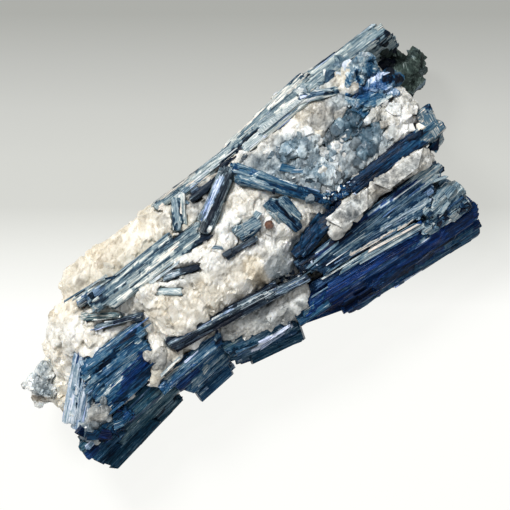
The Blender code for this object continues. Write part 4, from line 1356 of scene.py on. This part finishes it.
sheaf(
    "ridge_sheaf", SLATE_FINISH, "kyanite_grey_blue",
    [
        ((-13, 23, 27.4), (18, 22.6, 29)), ((8, 23.4, 24), (36, 26.4, 22)), ((30, 25, 22), (57.6, 24.8, 21)),
        ((30, 23, 28), (59.6, 22.8, 26.4)),
    ],
    shade=0.61, spread=0.17, width=(0.25, 1.4), length=(5, 20), spacing=1.5, tinge=0.28, feathers=0,
    accents=[
        # The first accent is a painted shadow where the ridge's end turns under
        ((55.5, 21.6), (60, 22.4), 1.8, 0.04, STONE_CAST), ((-12, 24), (-6, 22.8), 0.8, 0.34),
        ((-9, 23.6), (6, 23.6), 0.6, 0.6, STONE_CAST), ((12, 24.6), (34, 26.2), 1.1, 0.88, 0.2),
        ((0, 23.3), (10, 23.2), 0.3, 0.1), ((-4, 22.6), (8, 22.4), 0.5, 0.85), ((10, 21.2), (18, 21.9), 1, 0.05),
        ((14, 23.6), (23, 25), 0.9, 0.45), ((24, 24.2), (40, 24.4), 0.25, 0.15),
        ((25, 22.6), (33, 22.8), 0.6, 0.9), ((30, 26.9), (40, 26.6), 0.5, 0.36), ((42, 25.8), (56, 26), 0.3, 0.2),
        ((50, 24), (57, 22.6), 1.8, 0.54, 0.3), ((44, 23), (50, 22), 0.8, 0.46),
        ((38, 25.2), (50, 24.9), 0.4, 0.78),
    ],
    crystals=[
        ((9.6, 20.8), (15, 21.4), 1, 0.05, TEAL_CAST), ((13.6, 21.4), (18.6, 22.4), 0.9, 0.08, TEAL_CAST),
        ((-9, 21.8), (6, 21.4), 0.6, 0.75), ((-2, 22), (12, 21.8), 0.4, 0.9),
    ],
)
sheaf(
    "dark_strip_blade", DARK_FINISH, "kyanite_dark", [((-4.8, 18.8, 32.6), (4.4, 18.4, 33))],
    shade=0.3, spread=0.14, width=(0.3, 0.9), length=(3, 8), spacing=1.3, lift=0.2,
    crystals=[((-4.6, 19.2), (-1.2, 19.7), 0.7, 0.12)],
)
sheaf(
    "fan_blades", SLATE_FINISH, "kyanite_grey_blue", [((-12.4, 14.8, 33.2), (-7.9, 21.6, 31.8))],
    shade=0.8, spread=0.1, width=(0.3, 0.9), length=(4, 8), spacing=9, lift=0.1, tinge=0.3, feathers=0,
    accents=[
        ((-11.8, 15), (-8.2, 21.4), 0.8, 0.52, 0.4), ((-12.8, 15.2), (-9.2, 21.8), 0.25, 0.12, 0.3),
        ((-10.6, 14.8), (-7.4, 20.8), 0.25, 0.08, 0.3),
    ],
    crystals=[((-7.6, 21.4), (-5.8, 17.8), 1, 0.45), ((-12.8, 14.8), (-11.4, 16.4), 0.7, 0.3)],
)
sheaf(
    "upper_light_blade", SLATE_FINISH, "kyanite_grey_blue",
    [((13, 20.4, 31), (33, 21, 31)), ((31.6, 21.6, 31.4), (40.4, 17.4, 31.6))],
    shade=0.76, spread=0.28, width=(0.4, 1.8), length=(5, 16), spacing=1.2, lift=0.22, tinge=0.36,
    accents=[
        ((23, 21), (26.5, 20.2), 0.9, 0.56, LILAC_CAST), ((27, 22.3), (32.5, 21.6), 0.5, 0.95),
        ((33, 21), (39.5, 17.4), 0.5, 0.4), ((38, 18.6), (39.8, 17.4), 0.5, 0.03),
    ],
    crystals=[((36, 19.6), (39.6, 17.5), 0.8, 0.08), ((34.6, 21.8), (39, 18.4), 0.8, 0.7)],
    litters=[((32, 22), (46, 21.6), 1.6, 30, 0.68, 0.16, (1, 3.1))],
)
sheaf(
    "knob_blade", NAVY_FINISH, "kyanite_navy", [],
    shade=0.7, tinge=0.35, cell=5.5,
    accents=[
        ((49.5, 21.6), (51.4, 20.6), 0.8, 0.86), ((46, 17), (49.5, 20.5), 0.9, 0.74),
        ((45.2, 16), (46.5, 18.6), 0.3, 0.1), ((48, 15.8), (51.6, 18), 0.8, 0.56),
    ],
)
sheaf(
    "royal_blade", BLUE_FINISH, "kyanite_blue", [],
    shade=0.68, spacing=1.6, tinge=0.5, cell=5,
    accents=[
        ((43.5, 13.5), (49, 12), 1.4, 0.6, 0.7), ((48, 14.6), (52.5, 13.6), 0.7, 0.95, LILAC_CAST),
        ((38.8, 15.8), (43, 10.2), 0.8, 0.78), ((43, 9.8), (50, 8.8), 0.7, 0.78),
        ((51, 12.6), (53.6, 10.6), 0.9, 0.02),
    ],
    crystals=[
        ((38.6, 16.4), (42.6, 11.4), 1.8, 0.78, 0.4), ((41.4, 10.4), (46, 9), 1.2, 0.72, 0.3),
        ((45, 9.2), (50, 8.6), 1.3, 0.78, 0.3), ((48, 14.4), (53, 13.4), 0.8, 0.95, LILAC_CAST),
    ],
    litters=[((41, 14), (51, 11), 2.4, 6, 0.62, 0.12, (1.1, 3.1))],
)
sheaf(
    "teal_lump", QUARTZ_FINISH, "kyanite_teal", [],
    shade=0.25, spacing=1.6, tinge=-0.95, cell=4.6,
    accents=[
        ((28, 8.8), (34, 11), 1.3, 0.2, -1), ((31, 7.4), (34.5, 6.6), 1, 0.86, 0),
        ((36, 9.4), (41.5, 8.4), 1.6, 0.28, -1), ((35, 4), (42, 3.6), 1.8, 0.42, -0.9),
        ((28, 3), (30, 1.4), 0.5, 0.1, -1),
    ],
    crystals=[
        ((31.4, 10.6), (37.2, 9), 3, 0.2, -1, 0.45, 0.8, 2), ((32.6, 8), (36.6, 7.2), 2.4, 0.26, -1, 0.35, 0.8, 4),
        ((36.6, 5.6), (41, 3.2), 3.2, 0.3, -1, 0.45, 0.9, 1),
        ((37.4, 8.4), (40.6, 6.8), 2.2, 0.22, -1, 0.4, 0.8, 5),
    ],
    litters=[
        ((28.6, 9), (41, 9.4), 2.6, 6, 0.26, 0.12, (1.3, 3.4), -1),
        ((34, 3.4), (42.4, 4), 2.8, 8, 0.4, 0.16, (1.3, 3.3), -0.8),
        ((28, 0.8), (35, 0), 2.2, 10, 0.32, 0.2, (1.3, 3.2), -0.7),
        ((28, 5.4), (36, 4.4), 1.8, 6, 0.48, 0.2, (1.2, 3), -0.6),
    ],
)
sheaf(
    "granular_blue_patch", QUARTZ_FINISH, "kyanite_grey_blue", [],
    shade=0.58, spacing=1.5, tinge=-0.8, cell=4.2,
    crystals=[
        ((20, 6.6), (26.4, 1.2), 1.5, 0.7, -0.7), ((24.6, 6.2), (28, 2.6), 1, 0.6, -0.9),
        ((19.8, 5.2), (25, 0.6), 0.6, 0.05, -1), ((16.4, 16), (19, 13.4), 2.1, 0.2, -1),
        ((18.8, 16), (20.9, 12.2), 1.5, 0.22, -1), ((15.6, 16.6), (18.2, 16.7), 1, 0.8, 0),
        ((10, 18), (13.2, 19.6), 1.4, 0.12, -1), ((18, 13), (20.4, 11.4), 1.2, 0.34, -1),
    ],
    litters=[
        ((20, 12.6), (29, 12.6), 3.2, 7, 0.62, 0.12, (1.5, 4), -0.7),
        ((20.4, 8.4), (30, 6), 3, 8, 0.52, 0.16, (1.2, 3.2), -0.7),
        ((19.6, 2.8), (29, 1.2), 2.8, 12, 0.46, 0.2, (1.2, 3), -0.7),
        ((27, 16), (29, 10), 1.6, 8, 0.6, 0.12, (1.6, 3.7), -0.4),
    ],
)
sheaf(
    "end_back_cluster", SMOKY_FINISH, "kyanite_smoky_green", [],
    shade=0.68, spacing=1.7, cell=5.5,
    accents=[
        # The first accent is painted shade: the dark hollow at the back end
        ((52, 13), (57, 19), 2, 0.08), ((53, 9), (63, 10), 2.2, 0.52), ((60, 13.6), (63, 13.8), 0.9, 0.55, 0.6),
        ((52, 5), (56, 5), 1.4, 0.45, 0.6),
    ],
    # These dark grains paint the same hollow's shade
    litters=[((54, 12), (57, 19), 2, 20, 0.2, 0.2, (1, 3.4))],
)

# ---- Hidden sides and back --------------------------------------------------------------------

for node, finish, slot, shade, spread, longest, runs in (
    ("front_base_sheaf", TEAL_FINISH, "kyanite_teal", 0.42, 0.14, 26,
     [((-9, -19.4, 12), (42, -27, 9.6)), ((-7, -14.6, 7.4), (44, -19, 7.4))]),
    ("left_base_sheaf", BLUE_FINISH, "kyanite_blue", 0.4, 0.14, 24,
     [((-60, -12, 9.6), (-24, -17.2, 8.4)), ((-56, -5.6, 8), (-28, -10.6, 6.8))]),
    ("back_base_sheaf", GREY_FINISH, "kyanite_grey_blue", 0.5, 0.16, 26,
     [((-33, 22.4, 13), (20, 22.4, 13.6)), ((-30, 15.6, 8), (26, 15.6, 7.6))]),
    ("right_base_sheaf", NAVY_FINISH, "kyanite_navy", 0.42, 0.16, 26,
     [((14, 8, 6.4), (55, 10, 9)), ((20, -4, 6), (54, -4.4, 9))]),
):
    sheaf(node, finish, slot, runs, shade, spread, width=(0.5, 2), length=(8, longest), spacing=2, lift=0.25)


def garnet():
    """The brown grain in the middle of the face: a rounded stone with flat breaks all round."""
    low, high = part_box("garnet_grain")
    middle, wide = (low + high) / 2, high.x - low.x
    deselect()
    bpy.ops.mesh.primitive_ico_sphere_add(subdivisions=3, radius=wide / 2, location=middle)
    piece = bpy.context.object
    piece.name = "garnet_pebble"
    bpy.ops.object.transform_apply(location=True, rotation=True, scale=True)
    start_edit(piece)
    chance = random.Random(5)
    for _ in range(CHIP_BREAKS):
        away = any_way(chance)
        away.z = abs(away.z)
        away.normalize()
        break_off(middle + away * wide * chance.uniform(0.38, 0.46), away)
    end_edit()
    stand_for(piece, "garnet_grain", GARNET_FINISH, "brown_garnet")


garnet()

# ---- Floor, light and camera ------------------------------------------------------------------

VIEW_CENTRE = Vector((1.1, 0.7, 22.0)) * MM  # what the camera looks at
VIEW_WIDTH = 127.5 * MM
SLANT = math.radians(38)  # how far the camera is turned from the row frame
LENS, SENSOR = 180.0, 36.0
view_right = Vector((math.cos(SLANT), -math.sin(SLANT), 0))
view_up = Vector((math.sin(SLANT), math.cos(SLANT), 0))
# The floor runs from white to grey across the view, a painted fall of light, from the first to the last of
# FLOOR_REACH
FLOOR_REACH = (-0.012, 0.066)
FLOOR_PAINTED_FALLOFF = (
    (0.0, (0.99, 0.99, 0.96)), (0.17, (0.84, 0.845, 0.81)), (0.33, (0.655, 0.66, 0.625)),
    (0.49, (0.64, 0.645, 0.61)), (0.65, (0.59, 0.595, 0.565)), (0.81, (0.50, 0.505, 0.48)),
    (0.97, (0.402, 0.407, 0.382)),
)


def camera():
    """Looks straight down on the face."""
    data = bpy.data.cameras.new("camera")
    data.lens = LENS
    data.sensor_width = SENSOR
    data.dof.use_dof = False
    data.clip_start = 0.05
    data.clip_end = 20.0
    made = add_object("camera", data)
    distance = VIEW_WIDTH * LENS / SENSOR
    turn = Matrix((view_right, view_up, UP)).transposed()
    made.matrix_world = Matrix.Translation(VIEW_CENTRE + Vector((0, 0, distance))) @ turn.to_4x4()
    bpy.context.scene.camera = made


def area_light(name, direction, distance, size, power, colour=(1, 1, 1)):
    """A soft light that shines on the specimen from a direction: right, up and towards the camera."""
    data = bpy.data.lights.new(name, "AREA")
    data.shape = "DISK"
    data.size = size
    data.energy = power
    data.color = colour
    made = add_object(name, data)
    away = (view_right * direction[0] + view_up * direction[1] + UP * direction[2]).normalized()
    made.location = VIEW_CENTRE + away * distance
    made.rotation_mode = "QUATERNION"
    made.rotation_quaternion = away.to_track_quat("Z", "Y")


def floor():
    deselect()
    bpy.ops.mesh.primitive_plane_add(size=4.0, location=(0, 0, -0.05 * MM))
    made = bpy.context.object
    made.name = "floor"
    shader = Shader("floor")
    split = shader.add("ShaderNodeVectorMath", operation="DOT_PRODUCT")
    shader.feed(split, 0, shader.object_coordinates())
    shader.feed(split, 1, view_up)
    colour = shader.ramp(shader.spread(split.outputs["Value"], *FLOOR_REACH), FLOOR_PAINTED_FALLOFF)
    # Painted light: the floor glows, mostly by its own emission, so that the specimen casts hardly any shadow on it
    shader.fill(
        shader.surface,
        Base_Color=shader.mix(0.88, colour, (0, 0, 0)),
        Emission_Color=colour,
        Emission_Strength=0.89,
        Roughness=0.9,
        Specular_IOR_Level=0.0,
    )
    made.data.materials.append(shader.material)


def world():
    made = bpy.data.worlds.new("studio")
    bpy.context.scene.world = made
    made.use_nodes = True
    background = made.node_tree.nodes["Background"]
    background.inputs["Color"].default_value = (0.93, 0.96, 1.0, 1.0)
    background.inputs["Strength"].default_value = 0.4


camera()
floor()
world()
area_light("key", (-0.6, 0.8, 1.15), 0.6, 0.16, 3.4)
area_light("fill", (0.9, 0.1, 1.3), 0.8, 0.5, 0.5, (0.93, 0.96, 1.0))
area_light("glint", (-0.2, 0.75, 1.6), 0.7, 0.05, 0.4)
bpy.context.scene.view_settings.view_transform = "Standard"
